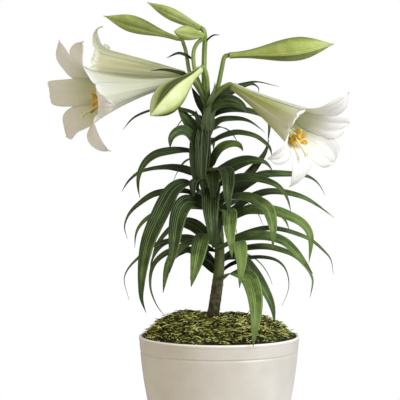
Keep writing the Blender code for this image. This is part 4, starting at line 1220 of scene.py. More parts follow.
        # painted shade: the tone falls towards each strand's root
        tone = chance.uniform(*layer.tones, count)[:, None] - 0.3 * (1.0 - along) ** 2 + 0.1 * along
        made = Surface(points.reshape(-1, 3), np.zeros((0, 4), int), np.zeros((0, 4, 2)), tris,
                       np.zeros((len(tris), 3, 2)))
        return made.tinted(tone=tone.ravel()).outward()

    def build(self) -> None:
        """Add the bed and the layers of strands."""
        chance = np.random.default_rng(SEED)
        finish = MossFinish().material()
        add_piece("moss_bed", self.bed(), finish, ("moss",))
        for layer in self.layers:
            add_piece(layer.name, self.strand_field(chance, layer), finish, ("moss",))


# Leafy stem


@dataclass(frozen=True)
class Leaf:
    """One leaf: row of its root on the stalk, depth of its tip, width, two rolls and its course.

    The course holds a column and a row of the front view in turn for each point. lift makes the
    leaf brighter or, below zero, darker than the leaves' general rule: partly the leaf's own tone and
    partly painted light and painted shade.
    """

    root_row: float
    tip_depth: float
    width: float
    roll_root: float
    roll_tip: float
    course: tuple
    lift: float = 0.0


LEAVES = tuple(Leaf(*row) for row in (
    # left side, from the top down
    (156, -12, 11, 26, 28, (190, 150, 175, 149.5, 158, 152.5, 147.5, 159, 141, 168, 138, 178, 138, 188,
     139.8, 198)),
    (178, 22, 11, 32, 25, (191.5, 171, 183, 168, 170, 166, 157, 167, 147, 169, 138.5, 172, 131, 178,
     126, 184, 121.5, 192)),
    (200, -44, 17, 24, 18, (204, 195, 198, 186.5, 190, 181.5, 181, 182.5, 172, 189.5, 165.5, 200.5,
     159.5, 213, 153, 227, 147.5, 241, 144, 256, 142, 270, 141, 285, 141.3, 299, 146, 313), -0.06),
    (203, 14, 9, 30, 25, (190, 191.5, 177, 190, 165, 191, 155, 193, 147, 197, 139, 203, 131.5, 210,
     126.5, 218, 124.3, 228, 127.6, 239)),
    (212, 46, 9, 32, 30, (203, 207, 190, 206, 172, 206.5, 156, 212.5, 145.5, 219, 138.5, 227, 135.3, 236,
     134.8, 248), 0.25),
    (212, -58, 16, 45, 5, (204, 204, 196, 200.5, 188, 200.5, 182, 206, 178, 216, 175.5, 229, 174, 242,
     172, 257, 169.5, 273), -0.12),
    (246, -42, 11, 20, 15, (200, 239, 188, 242, 175.5, 251, 169, 262, 165.5, 275, 163, 293), 0.12),
    (244, -60, 17, 0, 5, (210, 232, 203, 233, 199.5, 245, 196, 264, 191, 287), 0.1),
    (264, 30, 6, 25, 20, (200, 246, 170, 240, 150, 247, 137.5, 258, 127.6, 269, 124, 281, 129, 300)),
    (270, 9, 8, 28, 25, (211, 261, 200, 253, 190, 249, 180, 248.5, 169, 251, 160.5, 256, 154, 263,
     150.5, 272, 149.7, 283, 151.3, 293, 157, 306, 166.5, 318)),
    (238, 40, 14, 34, 30, (208, 236, 201, 230, 193, 224, 182, 221, 172, 226, 163, 235, 156, 246, 151, 262)),
    (252, 24, 10, 32, 30, (208, 248, 198, 241.5, 188, 238, 178, 238, 165, 242, 157, 250, 151.5, 261,
     150, 275)),
    (268, 18, 9, 30, 30, (214, 262, 205, 253.5, 194, 249, 183, 250.5, 174, 260)),
    (276, 14, 9, 30, 30, (213, 270, 205, 261, 197, 254, 188, 251, 179, 256)),
    # right side, from the top down
    (150, 4, 11, 26, 32, (211, 142, 220, 136, 230, 132.5, 240, 131.5, 255, 135, 264, 141, 270, 147.5,
     272, 156)),
    (168, -26, 13, 62, 40, (212, 160, 215, 153, 221, 146.5, 229, 143.5, 236, 143.5, 240.5, 146,
     243, 151), 0.3),
    (182, 18, 14, 46, 34, (216, 175, 226, 168.5, 238, 162, 250, 159, 262, 160.5, 268.5, 164.5, 273, 172)),
    (200, 28, 10, 38, 35, (226, 193, 239, 184, 254, 167.5, 265, 152, 269, 140)),
    (206, 24, 11, 32, 28, (220, 201, 235, 192, 250, 181, 264, 173.5, 287, 173, 305, 175, 315, 180, 321, 187,
     325, 195)),
    (192, -8, 11, 34, 30, (222, 182, 234, 177.5, 245, 176, 262, 178.5, 276, 184, 284, 191.5, 288.5, 201,
     291, 212)),
    (222, 16, 10, 30, 26, (226, 213, 235, 207.5, 250, 197, 267, 191, 285, 191.5, 303, 196.5, 317, 204.5,
     334, 217.5)),
    (208, -52, 15, 22, 12, (226, 198, 236, 195, 245, 195, 256, 199, 267, 206.5, 272, 219, 273.5, 234,
     272.5, 249), 0.1),
    (226, -16, 13, 40, 30, (228, 218.5, 236, 214, 250, 208.5, 274, 210, 289, 215, 302, 222, 309.5, 231.5,
     311.3, 243, 309, 263), 0.12),
    (220, 26, 9, 30, 30, (226, 217, 240, 211.5, 262, 208.5, 278, 213, 286, 221, 289.5, 231), 0.15),
    (250, 12, 8, 26, 22, (228, 241.5, 237.5, 235.5, 262, 228, 280, 228.5, 298, 233.5, 312, 240, 323, 249.5,
     331, 259.5, 333.5, 274.5)),
    (246, -24, 13, 36, 30, (228, 240.5, 237.5, 237, 254, 234.5, 270, 235.5, 284, 240.5, 293, 248,
     302, 258.5, 313, 274), 0.1),
    (258, 5, 10, 30, 26, (232, 250.5, 247, 247, 262, 245.5, 276, 247.5, 294, 254.5, 306, 266, 311.5, 275,
     313, 283, 310, 298), 0.2),
    (276, 30, 6, 26, 22, (224, 269, 230, 264.5, 238, 261, 248, 257.5, 262, 256.5, 276, 259.5, 285, 267.5,
     289, 280, 288, 292, 282, 306)),
    (262, -14, 14, 36, 34, (232, 255, 241.5, 257, 255, 273, 264, 287, 270.5, 300, 273.5, 311,
     274.5, 323), -0.25),
    (280, -82, 15.5, 20, 16, (224, 274.5, 231, 270.5, 237.5, 270.5, 248, 276, 254, 291, 256, 309, 255, 327,
     253, 347), 0.15),
    # leaves that hang toward the front
    (132, -22, 12, 0, 0, (203, 124, 197, 130, 195, 150, 195.5, 172, 198, 196), -0.36),
    (134, -26, 12, 0, 0, (206, 125, 203, 131, 201.5, 150, 201.5, 172, 204, 198), -0.34),
    (138, -20, 9, 0, 0, (207, 128, 206, 136, 206, 150, 205.5, 166, 204, 184), -0.36),
    (190, -30, 14, 0, 0, (204, 179, 197, 178, 192.5, 183, 194, 198), -0.36),
    (178, -32, 14, 0, 0, (210, 167, 212, 170, 213.5, 182, 213, 202), -0.25),
    (182, -50, 14, 8, 5, (214, 168, 222, 166.5, 227, 170, 228.5, 180, 228, 195, 229.5, 214), -0.22),
    (198, -44, 15.5, 0, 0, (213, 186, 211, 191, 210.5, 208, 212, 228, 213, 249), -0.25),
    (224, -34, 8, 0, 0, (222, 212, 220, 222, 217, 236, 215, 250), -0.1),
    (216, -62, 13.5, 0, 0, (225, 208, 229.5, 211, 230, 228, 231, 242, 232, 258), 0.14),
    (248, -66, 13.5, 0, 5, (232, 241, 239, 241, 241.5, 258, 241, 272, 239.5, 288), 0.24),
    # top of the stalk
    (148, -20, 12, 50, 40, (196, 141, 190, 132.5, 183, 129.5, 176, 132, 171, 138, 170, 148), 0.1),
    (136, 4, 12, 60, 60, (194, 127, 187, 119, 181.5, 111, 177.5, 105)),
    (122, 10, 8, 35, 35, (205, 112, 200.5, 104, 196, 95.5, 191.5, 87), -0.25),
    (126, 12, 7, 28, 25, (196, 114, 184, 109, 168, 106.5, 150, 110, 133.5, 117.5, 122.5, 130), -0.1),
    (114, 10, 8, 35, 20, (211, 102, 221, 93, 234, 86.5, 246, 83, 258, 81.5, 279, 86.5), -0.1),
    (118, 26, 8, 30, 30, (214, 106, 226, 95, 240, 86.5, 252, 83.5, 258.6, 88, 258.5, 94.5), -0.1),
    (112, 2, 11, 42, 32, (212, 103, 220, 98.5, 230, 97, 238, 100, 244, 105, 248, 112), -0.25),
    (124, -8, 10, 55, 40, (209, 116, 212, 109, 218, 104, 225, 102.5, 234, 103.5, 241, 107,
     246.5, 112), 0.2),
    (126, 12, 11, 36, 30, (211, 116, 219, 110.5, 230, 108, 242, 108.5, 253, 111, 262.5, 115, 269.5, 123,
     268, 142), -0.2),
    (136, 24, 8, 36, 30, (211, 128, 218, 120.5, 226, 118, 240, 118, 250, 121, 258, 126.5, 265.5, 133), 0.3),
    (108, -10, 12, 20, 20, (210.5, 99, 213.5, 91, 215, 82), -0.25),
    (136, -14, 10, 5, 5, (203, 127, 199, 121, 197, 115, 196, 110), -0.36),
    (138, -16, 10, 5, 5, (206, 128, 206.5, 120, 208, 112, 211, 104), -0.36),
    (140, -12, 10, 5, 5, (209, 130, 210.5, 122, 213, 114, 217, 107), -0.3),
))


@dataclass(frozen=True)
class FlowerStalk:
    """One flower stalk: radius at its foot, radius at its end and its course, with depths."""

    foot_radius: float
    end_radius: float
    course: tuple


FLOWER_STALKS = {
    "bloom_left": FlowerStalk(2.6, 2.5, ((207, 106, 0), (204, 96, -3), (199, 86, -6), (190, 79.5, -10))),
    "bloom_back": FlowerStalk(2.6, 2.5, ((206, 106, 0), (201, 93, 3), (195, 82, 4), (186, 75.5, 5))),
    "bloom_right": FlowerStalk(2.7, 2.6, ((207, 108, 0), (212, 99, -4), (221, 89, -7), (232, 86, -12))),
    "bud_high": FlowerStalk(2.7, 2.6, ((206, 106, 0), (204.5, 90, 3), (204, 70, 4), (204.5, 50, 3),
        (205, 39, 1), (204, 32, -1), (200, 28, -2))),
    "bud_left": FlowerStalk(2.2, 1.9, ((206, 104, 0), (200, 92, 1), (192.8, 80, -2), (189, 70, -2),
        (186, 52, 0), (183.4, 43.5, 1), (179, 39, 2))),
    "bud_small": FlowerStalk(2.2, 2.0, ((206, 104, 0), (201, 88, -4), (195.8, 74, -6), (193.6, 62, -7),
        (193.8, 51, -7), (197.5, 43, -7), (203, 38.5, -5.5), (202.5, 35.5, -9))),
    "bud_front": FlowerStalk(2.7, 2.6, ((208, 106, 0), (207.5, 92, -7), (206.5, 78, -13), (204, 68.5, -16),
        (200, 69.5, -20))),
    "bud_right": FlowerStalk(2.6, 2.3, ((208, 106, 0), (213, 98, 2), (218, 86, 2), (221.5, 70, 0),
        (223.5, 60, -2), (229, 55.5, -3))),
}


@dataclass(frozen=True)
class Blade:
    """Shape of a lance-shaped blade: a channelled upper face, a ridge below and fine edges.

    Fields of two rows give a value's course along the blade: shares of the way, then values.
    """

    columns: int = 13
    edge: float = 0.16 * MM
    middle: float = 0.7 * MM
    tip_width: float = 0.5 * MM
    root_share: float = 0.5
    swell_end: float = 0.4
    fall_start: float = 0.35
    channel: float = 0.26
    channel_course: tuple = ((0.0, 0.3, 1.0), (1.5, 1.0, 0.7))
    thick_course: tuple = ((0.0, 0.7, 1.0), (1.0, 0.85, 0.5))
    roll_shares: tuple = (0.0, 0.15, 1.0)
    wobble: float = 0.12
    ripple: float = 0.07
    droop: float = 0.1
    step: float = 3.2 * MM

    def width(self, share: np.ndarray) -> np.ndarray:
        """Share of the greatest width along the blade: a sine rise, then a rounded fall to the tip.

        Args:
            share: shares of the way from root to tip.

        Returns:
            Shares of the width.
        """
        swell = np.sin(0.5 * np.pi * limited(share / self.swell_end))
        fall = limited((share - self.fall_start) / (1.0 - self.fall_start))
        return (self.root_share + (1.0 - self.root_share) * swell) * (1.0 - fall**2) ** 0.9

    def surface(self, line: np.ndarray, width: float, rolls: tuple[float, float], tone: float,
                phase: float) -> Surface:
        """Blade along a line: across it, height is the channel times a power of the distance from
        the rib, less a share that keeps the blade's middle on the line, plus a ripple along the
        edges that is a sine of the way along. Its roll grows a little where it hangs.

        Args:
            line: middle line from root to tip.
            width: greatest width in metres.
            rolls: roll about the line near the root and at the tip, in degrees.
            tone: brightness from 0 to 1.
            phase: where the ripple and the roll's wobble start, in radians.

        Returns:
            The closed blade with tints "tone" and "side".
        """
        share = np.linspace(0.0, 1.0, len(line))
        ahead = unit(np.gradient(line, axis=0))
        heading = unit((line[-1] - line[0]) * (1.0, 1.0, 0.0))
        level = np.cross(Z_AXIS, heading)
        across = unit(level - ahead * (ahead @ level)[:, None])
        side = 1.0 if heading[0] > 0.0 else -1.0
        away = math.atan2(max(heading[1], 0.0), abs(heading[0]) + 0.3)
        roll = np.radians(np.interp(share, self.roll_shares, (0.0, *rolls)))
        roll = roll + away * limited(-ahead[:, 2]) + self.wobble * np.sin(5.0 * share + phase)
        roll = roll[:, None]
        turned = np.cos(roll) * across + side * np.sin(roll) * np.cross(ahead, across)
        lifted = np.cross(ahead, turned)
        u = np.linspace(-1.0, 1.0, self.columns)
        off = np.abs(u)
        half = np.maximum(0.5 * width * self.width(share), 0.5 * self.tip_width)[:, None]
        channel = self.channel * np.interp(share, *self.channel_course)[:, None]
        waves = self.ripple * np.sin(9.0 * share[:, None] + phase + 1.3 * np.sign(u)) * u**2
        lift = half * (channel * (off**1.4 - 1.15) + waves - self.droop * off**4)
        thick = self.edge + (self.middle - self.edge) * (1.0 - off**1.5)
        thick = thick * np.interp(share, *self.thick_course)[:, None]
        middle = line[:, None] + turned[:, None] * (half * u)[..., None]
        top = middle + lifted[:, None] * (lift + 0.35 * thick)[..., None]
        low = middle + lifted[:, None] * (lift - 0.65 * thick)[..., None]
        return shell(top, low).tinted(tone=tone)


@dataclass
class LeafyStem:
    """Stalk with bark and leaf scars, its leaves, its flower stalks and their small bracts.

    The stalk's course has rows of column, row, depth and radius; a bract has its width, its tone
    and its course.
    """

    foot_x: float = -6.4 * MM
    foot_z: float = 78.3 * MM
    foot_radius: float = 5.0 * MM
    collar: tuple = (130.0 * MM, 5.9 * MM)
    course: tuple = (
        (212.8, 319, 0, 6.2), (214.2, 307, 0, 6.2), (216, 295, 0, 6.1), (217.9, 281, 0, 5.9),
        (219.2, 268, 0, 5.5), (219.6, 250, 0, 5.1), (218.6, 230, 0, 4.8), (215.8, 208, 0, 4.7),
        (211.5, 184, 0, 4.5), (208, 160, 0, 4.3), (206, 136, 0, 4.1), (206, 118, 0, 3.9),
        (207, 103, 0, 3.5),
    )
    stalk_sides: int = 40
    bracts: tuple = (
        (4.5, 0.12, ((199, 85, -3), (188, 76, -2.6), (177, 71.8, -2), (164, 69.5, -3), (150.5, 70.7, -4))),
        (3.5, 0.12, ((193, 60, -5), (187, 55.5, -5), (178, 53, -6), (166.5, 58, -8))),
        (2.6, 0.12, ((204.3, 44, 2), (209, 38, -3), (214, 35, -6), (220, 35, -8))),
    )
    bract_rolls: tuple = (70.0, 70.0)
    breadth: float = 1.15
    tilt: float = 1.2
    least_steps: int = 18
    back_leaves: int = 14
    back_rows: tuple = (262.0, 124.0)
    back_rolls: tuple = (12.0, 18.0)
    golden_angle: float = math.radians(137.508)
    scars: int = 74
    scar_heights: tuple = (155.0 * MM, 385.0 * MM)
    scar_size: tuple = (1.1 * MM, 0.75)
    scar_rise: float = 0.45 * MM
    skin: float = 0.2 * MM
    ribs: tuple = (0.1 * MM, 0.12 * MM)
    shoulder: float = 3.5 * MM
    flower_stalk_sides: int = 18
    flower_stalk_rib: float = 0.07 * MM
    blade: Blade = Blade()

    def stalk_at(self, row: float) -> np.ndarray:
        """Point on the stalk's middle line at a row of the front view."""
        column = np.interp(row, *np.array(self.course)[::-1, 1::-1].T)
        return VIEW.place((column, row, 0.0))[0]

    def stalk(self) -> Surface:
        """Stalk as a bar whose skin is raised by a bell at each leaf scar, on a spiral, and by fine
        ribs that are sines of the turn.

        Returns:
            The closed surface.
        """
        course = np.array(self.course)
        rest = np.column_stack((VIEW.place(course[:, :3]), course[:, 3] * MM))
        foot = ((self.foot_x, 0.0, self.foot_z, self.foot_radius), (self.foot_x, 0.0, *self.collar))
        line = through(np.vstack((foot, rest)), count=320)
        angle = circle_angles(self.stalk_sides)
        index = np.arange(self.scars)
        height = np.interp(index, (0, self.scars - 1), self.scar_heights)
        turn = index * self.golden_angle
        off = (angle[None, None] - turn[:, None, None] + np.pi) % (2 * np.pi) - np.pi
        tall, wide = self.scar_size
        near = bell(line[None, :, 2, None] - height[:, None, None], tall)
        scars = self.scar_rise * (near * bell(off, wide)).sum(axis=0)
        fine, broad = self.ribs
        ribs = fine * np.sin(11 * angle)[None] + broad * np.sin(5 * angle + 60.0 * line[:, 2:3])
        return tube(line[:, :3], line[:, 3] - self.skin, self.stalk_sides, scars + ribs)

    def leaf_line(self, leaf: Leaf) -> np.ndarray:
        """Middle line of a leaf from the stalk to its tip; its depth grows early and then levels off.

        Args:
            leaf: the leaf.

        Returns:
            Rows of x, y and z at even steps.
        """
        root = self.stalk_at(leaf.root_row)
        first = np.array([[VIEW.middle + (root[0] - VIEW.eye_x) / VIEW.step, leaf.root_row]])
        flat = np.vstack((first, np.reshape(leaf.course, (-1, 2))))
        run = totals(step_lengths(flat))
        sideways = min(1.0, abs(flat[-1, 0] - flat[0, 0]) / 45.0)
        depth = leaf.tip_depth * (1.0 - (1.0 - run / run[-1]) ** (3.2 - 1.6 * sideways))
        points = VIEW.place(np.column_stack((flat, depth)))
        length = float(step_lengths(points).sum())
        return through(points, max(self.least_steps, round(length / self.blade.step)))

    def back_leaf_line(self, index: int, chance: random.Random) -> np.ndarray:
        """Middle line of a leaf behind the stalk: its slope falls evenly from a rise to a steep fall.

        Args:
            index: number of the leaf on the spiral.
            chance: seeded random numbers.

        Returns:
            Rows of x, y and z.
        """
        share = index / (self.back_leaves - 1)
        row = self.back_rows[0] + share * (self.back_rows[1] - self.back_rows[0])
        azimuth = math.radians(46.0 + math.degrees((index * self.golden_angle) % math.pi) * 88.0 / 180.0)
        length = (108.0 - 34.0 * share + chance.uniform(-16.0, 12.0)) * MM
        rise = math.radians(46.0 + chance.uniform(-16.0, 16.0))
        fall = math.radians(-70.0 + 12.0 * share + chance.uniform(-14.0, 14.0))
        count = max(self.least_steps, round(length / self.blade.step))
        slope = rise + (fall - rise) * ((np.arange(count) + 0.5) / count) ** 0.9
        out = totals(np.cos(slope)) * length / count
        climb = totals(np.sin(slope)) * length / count
        heading = np.array((math.cos(azimuth), math.sin(azimuth), 0.0))
        return self.stalk_at(row) + out[:, None] * heading + climb[:, None] * Z_AXIS

    def leaves(self) -> Surface:
        """All leaves, with painted light: those lower down and farther right are brighter.

        Returns:
            The closed blades in one surface.
        """
        chance = np.random.default_rng(SEED)
        back_chance = random.Random(SEED)
        made = []
        for leaf in LEAVES:
            line = self.leaf_line(leaf)
            tip_column, tip_row = leaf.course[-2:]
            # painted light: the tone rises for leaves lower down and farther right, towards the key light;
            # lift adds each leaf's own share of painted light and shade
            tone = 0.30 + 0.2 * (tip_row - 90) / 250 + 0.14 * (tip_column - 120) / 210
            tone += leaf.lift + chance.uniform(-0.06, 0.06)
            rolls = (leaf.roll_root * self.tilt, leaf.roll_tip * self.tilt)
            phase = chance.uniform(0.0, 6.0)
            made.append(self.blade.surface(line, leaf.width * self.breadth * MM, rolls, tone, phase))
        for index in range(self.back_leaves):
            line = self.back_leaf_line(index, back_chance)
            width = back_chance.uniform(9.0, 12.5) * MM
            made.append(self.blade.surface(line, width, self.back_rolls, chance.uniform(0.25, 0.5),
                                           chance.uniform(0.0, 6.0)))
        return joined(made)

    def flower_stalks(self) -> Surface:
        """All flower stalks, each a bar whose radius changes evenly, with six fine ribs.

        Returns:
            The closed bars in one surface.
        """
        made = []
        ribs = self.flower_stalk_rib * np.sin(6 * circle_angles(self.flower_stalk_sides))[None]
        for name, stalk in FLOWER_STALKS.items():
            points = VIEW.place(stalk.course)
            end = points[-1].copy()
            points[-1] -= self.shoulder * flower_axis(name)
            line = through(np.vstack((points, end)), count=44)
            share = np.linspace(0.0, 1.0, len(line))
            radii = (stalk.foot_radius + (stalk.end_radius - stalk.foot_radius) * share) * MM
            made.append(tube(line, radii, self.flower_stalk_sides, ribs))
        return joined(made)

    def bract_blades(self) -> Surface:
        """The small narrow bracts on the flower stalks.

        Returns:
            The closed blades in one surface.
        """
        return joined([
            self.blade.surface(through(VIEW.place(points), 26), width * MM, self.bract_rolls, tone, 1.0)
            for width, tone, points in self.bracts
        ])

    def build(self) -> None:
        """Add the stalk, the leaves, the flower stalks and the bracts."""
        leaf_finish = LeafFinish().material()
        for name, surface, finish in (
            ("stalk", self.stalk(), StalkFinish().material()),
            ("leaves", self.leaves(), leaf_finish),
            ("flower_stalks", self.flower_stalks(), FlowerStalkFinish().material()),
            ("bracts", self.bract_blades(), leaf_finish),
        ):
            add_piece(name, surface, finish, ("leafy_stem",))


# Blooms


@dataclass(frozen=True)
class Tepal:
    """One tepal: turn about the axis, free length, half width, turn of its end, and outer green."""

    turn: float
    free_length: float
    half_width: float
    end_turn: float
    green: float = 0.5


@dataclass
class Bloom:
    """One trumpet bloom: six overlapping tepals from a narrow tube, stamens and a pistil.

    Its own axes are the top of the view, the way across, and out through the mouth. A size of two
    values holds a height and then a width as a share.
    """

    name: str
    base: tuple
    throat: tuple
    throat_radius: float
    widening: float
    stamen_length: float
    stamen_sweep: float
    tepals: tuple
    slot: str = "tepal_white"
    gap: float = 0.3 * MM
    thickness: float = 1.0 * MM
    base_radius: float = 3.3 * MM
    step: float = 0.9 * MM
    step_share: float = 0.45
    overlap: float = math.radians(7.0)
    tube_rows: int = 36
    free_rows: int = 40
    columns: int = 25
    turn_power: float = 1.15
    body_end: float = 0.955
    nib: float = 0.9 * MM
    ripple: float = 1.1 * MM
    pleat: float = 0.35 * MM
    edge: float = 0.22 * MM
    flesh: float = 0.5 * MM
    keel: tuple = (0.75 * MM, 0.12)
    furrow: tuple = (0.3 * MM, 0.1)
    style_sides: int = 18
    style_course: tuple = ((0.0, 0.12, 0.9, 1.0), (2.4, 1.1, 1.1, 1.9))
    stigma: tuple = (1.9 * MM, 1.3 * MM, 1.7 * MM)
    filament_ring: float = 2.1 * MM
    filament_foot: float = 1.5 * MM
    filament_radii: tuple = (0.8, 0.5)
    anther_length: float = 13.0 * MM
    anther_radius: float = 2.2 * MM
    anther_end: float = 0.05 * MM
    anther_bow: float = -1.0 * MM
    anther_furrows: tuple = ((-0.45 * MM, 0.5), (-0.3 * MM, 0.4))
    anther_sides: int = 16

    def axes(self) -> tuple[np.ndarray, np.ndarray, float]:
        """Place of the bloom's base, its axes and its length.

        Returns:
            Base point, rows of the three axes, and distance from base to throat.
        """
        base, throat = VIEW.place((self.base, self.throat))
        axis = unit(throat - base)
        top = unit(Z_AXIS - axis * axis[2])
        rows = np.stack((top, np.cross(axis, top), axis))
        return base + axis * (self.gap + self.thickness), rows, float(np.linalg.norm(throat - base))

    def sign(self) -> float:
        """Sign of a turn for which a quarter turn from the top lies on the far side."""
        return 1.0 if self.axes()[1][1][1] > 0.0 else -1.0

    def placed(self, points: np.ndarray) -> np.ndarray:
        """Points in a list or on a grid, brought from the bloom's own axes to the model's."""
        base, rows, _ = self.axes()
        return (base + points.reshape(-1, 3) @ rows).reshape(points.shape)

    def arc(self, index: int) -> tuple[float, float]:
        """The stretch of the tube that a tepal takes up, half-way to its neighbours and an overlap.

        Args:
            index: which tepal.

        Returns:
            Turn of its middle and half its width, in radians.
        """
        turns = np.radians([tepal.turn for tepal in self.tepals])
        wrapped = np.append(turns, turns[0] + 2 * np.pi)
        edges = 0.5 * (wrapped[:-1] + wrapped[1:])
        left = edges[index - 1] - (2 * np.pi if index == 0 else 0.0)
        return 0.5 * (edges[index] + left), 0.5 * (edges[index] - left) + self.overlap

    def sheet(self, index: int) -> np.ndarray:
        """One tepal's middle sheet from base to tip, in the bloom's own axes.

        In the tube its cross-section is an arc of the tube's circle, whose radius grows as a power
        of the way along. Beyond the throat its middle line turns outward with the free length, its
        width swells and falls to a small nib, its bow flattens, and its edges ripple.

        Args:
            index: which tepal.

        Returns:
            Points as rows, columns and coordinates.
        """
        own = self.tepals[index]
        sign, length = self.sign(), self.axes()[2]
        middle, half_turn = self.arc(index)
        throat, free = self.throat_radius * MM, own.free_length * MM
        inside = -self.step if index % 2 else self.step

        share = np.linspace(0.0, 1.0, self.tube_rows + 1)
        tube_radius = self.base_radius + (throat - self.base_radius) * share**self.widening
        slope = math.atan2(self.widening * (throat - self.base_radius), length)
        way = np.linspace(0.0, 1.0, self.free_rows + 1)
        centre = 0.5 * (way[1:] + way[:-1])
        turn = slope + (math.radians(own.end_turn) - slope) * centre**self.turn_power
        out = throat + totals(np.sin(turn)) * free / self.free_rows
        rise = length + totals(np.cos(turn)) * free / self.free_rows
        blend = ease(way, 0.0, 0.45)
        lean = (slope + (math.radians(own.end_turn) - slope) * way**self.turn_power) * blend
        body = limited(way / self.body_end)
        half = throat * half_turn * (1.0 - blend) + own.half_width * MM * blend
        half = np.maximum(half * (1.0 - body**3.8) ** 0.72, self.nib * limited((1.02 - way) / 0.09))

        none = np.zeros(self.tube_rows + 1)
        radius = on_along(tube_radius, out)
        height = on_along(length * share, rise)
        halves = on_along(tube_radius * half_turn, half)
        bow = on_along(tube_radius, throat * (1.0 + 3.5 * way))
        leans, blends, free_way = on_along(none, lean), on_along(none, blend), on_along(none, way)
        offset = inside * on_along(self.step_share * ease(share, 0.0, 0.5),
                                   self.step_share + (1.0 - self.step_share) * blend)

        p = np.linspace(-1.0, 1.0, self.columns)[None]
        ripple = self.ripple * np.sin(9.0 * free_way + 1.7 * index + 0.8 * np.sign(p)) * np.abs(p) ** 3
        ripple = ripple * ease(free_way, 0.05, 0.4)
        pleat = self.pleat * np.cos(2 * np.pi * 1.5 * p) * ease(free_way, 0.0, 0.5)
        sag = bow * (1.0 - np.cos(p * halves / bow)) + ripple + pleat
        sideways = bow * np.sin(p * halves / bow) * sign
        away = radius + offset - np.cos(leans) * sag
        level = height + np.sin(leans) * sag
        angle = sign * (np.radians(own.turn) * blends + middle * (1.0 - blends))
        return np.stack((
            away * np.cos(angle) - sideways * np.sin(angle),
            away * np.sin(angle) + sideways * np.cos(angle),
            np.broadcast_to(level, away.shape),
        ), axis=-1)

    def tepal(self, index: int) -> Surface:
        """One tepal with its thickness: thinner to the edges and the tip, with a bell-shaped keel
        along its outside and a bell-shaped furrow along its inside.

        Args:
            index: which tepal.

        Returns:
            The closed tepal with tints "side" (1 inside) and "green".
        """
        sheet = self.sheet(index)
        p = np.linspace(-1.0, 1.0, self.columns)[None]
        along = np.linspace(0.0, 1.0, len(sheet))[:, None]
        normal = unit(np.cross(np.gradient(sheet, axis=1), np.gradient(sheet, axis=0)))
        row, column = self.tube_rows // 2, self.columns // 2
        if normal[row, column, :2] @ sheet[row, column, :2] < 0.0:
            normal = -normal
        thick = self.edge + self.flesh * (1.0 - p**2) * (1.0 - 0.6 * along)
        keel = self.keel[0] * bell(p, self.keel[1]) * (1.0 - 0.75 * along)
        furrow = self.furrow[0] * bell(p, self.furrow[1]) * (1.0 - 0.5 * along)
        outer = sheet + normal * (0.5 * thick + keel)[..., None]
        inner = sheet - normal * (0.5 * thick - furrow)[..., None]
        return shell(self.placed(outer), self.placed(inner)).tinted(green=self.tepals[index].green)

    def filament_ends(self) -> list[tuple[np.ndarray, np.ndarray]]:
        """Each stamen's filament line and the direction in which its anther lies.

        Returns:
            Pairs of line and direction, in the bloom's own axes.
        """
        share = np.array((0.0, 0.05, 0.5, 1.0))[:, None]
        sweep = np.array((self.stamen_sweep * MM, 0.0, 0.0))
        made = []
        for index, tepal in enumerate(self.tepals):
            angle = self.sign() * math.radians(tepal.turn)
            out = np.array((math.cos(angle), math.sin(angle), 0.0))
            around = np.array((-out[1], out[0], 0.0))
            spread = (0.24 + 0.05 * (index % 2)) * self.throat_radius * MM
            tall = self.stamen_length * MM * (0.8 + 0.035 * (index % 3))
            apart = self.filament_ring + (spread - self.filament_ring) * share**2
            line = out * apart + Z_AXIS * tall * share - sweep * 0.5 * share**3
            line[0] = Z_AXIS * self.filament_foot
            made.append((line, unit(out * 0.55 + around * 0.35 + Z_AXIS * 0.75)))
        return made

    def pistil(self) -> list[Surface]:
        """Style along the axis, swept by a cube of the way, and its stigma: a ball with three lobes
        that are a cosine of three times the turn.

        Returns:
            The two closed surfaces.
        """
        share = np.linspace(0.0, 1.0, num=30)[:, None]
        sweep = np.array((self.stamen_sweep * MM, 0.0, 0.0))
        style = Z_AXIS * (self.gap + (self.stamen_length * MM - self.gap) * share) - sweep * share**3
        radii = np.interp(share[:, 0], *self.style_course) * MM
        angle = circle_angles(self.style_sides)
        ball, lobe, tall = self.stigma
        level = np.linspace(-1.0, 1.0, num=12)[:, None]
        reach = (ball + lobe * np.cos(3 * angle)) * np.sqrt(limited(1.0 - level**2))
        rings = np.stack((np.cos(angle) * reach, np.sin(angle) * reach,
                          np.broadcast_to(tall * level, reach.shape)), axis=-1) + style[-1]
        return [tube(self.placed(style), radii, self.style_sides), closed_rings(self.placed(rings))]

    def filaments(self) -> Surface:
        """Pistil and six thin filaments.

        Returns:
            The closed bars in one surface.
        """
        made = self.pistil()
        for line, _ in self.filament_ends():
            smooth = through(line, count=22)
            radii = np.linspace(*self.filament_radii, len(smooth)) * MM
            made.append(tube(self.placed(smooth), radii, sides=10))
        return joined(made)

    def anthers(self) -> Surface:
        """Six pollen-covered anthers: spindles, bowed by a square, with bell-shaped furrows along them.

        Returns:
            The closed spindles in one surface.
        """
        share = np.linspace(-0.5, 0.5, num=22)
        radii = self.anther_radius * limited(1.0 - (2 * share) ** 4) ** 0.5 + self.anther_end
        bow = self.anther_bow * (2 * share) ** 2
        angle = circle_angles(self.anther_sides)
        (far, far_width), (near, near_width) = self.anther_furrows
        furrow = far * bell(angle - np.pi, far_width) + near * bell(angle, near_width)
        relief = furrow[None] * (radii / radii.max())[:, None]
        made = []
        for line, lie in self.filament_ends():
            bend = unit(np.cross(lie, (0.3, 0.5, 0.8)))
            middle = line[-1] + lie * (self.anther_length * share)[:, None] + bend * bow[:, None]
            made.append(tube(self.placed(middle), radii, self.anther_sides, relief))
        return joined(made)

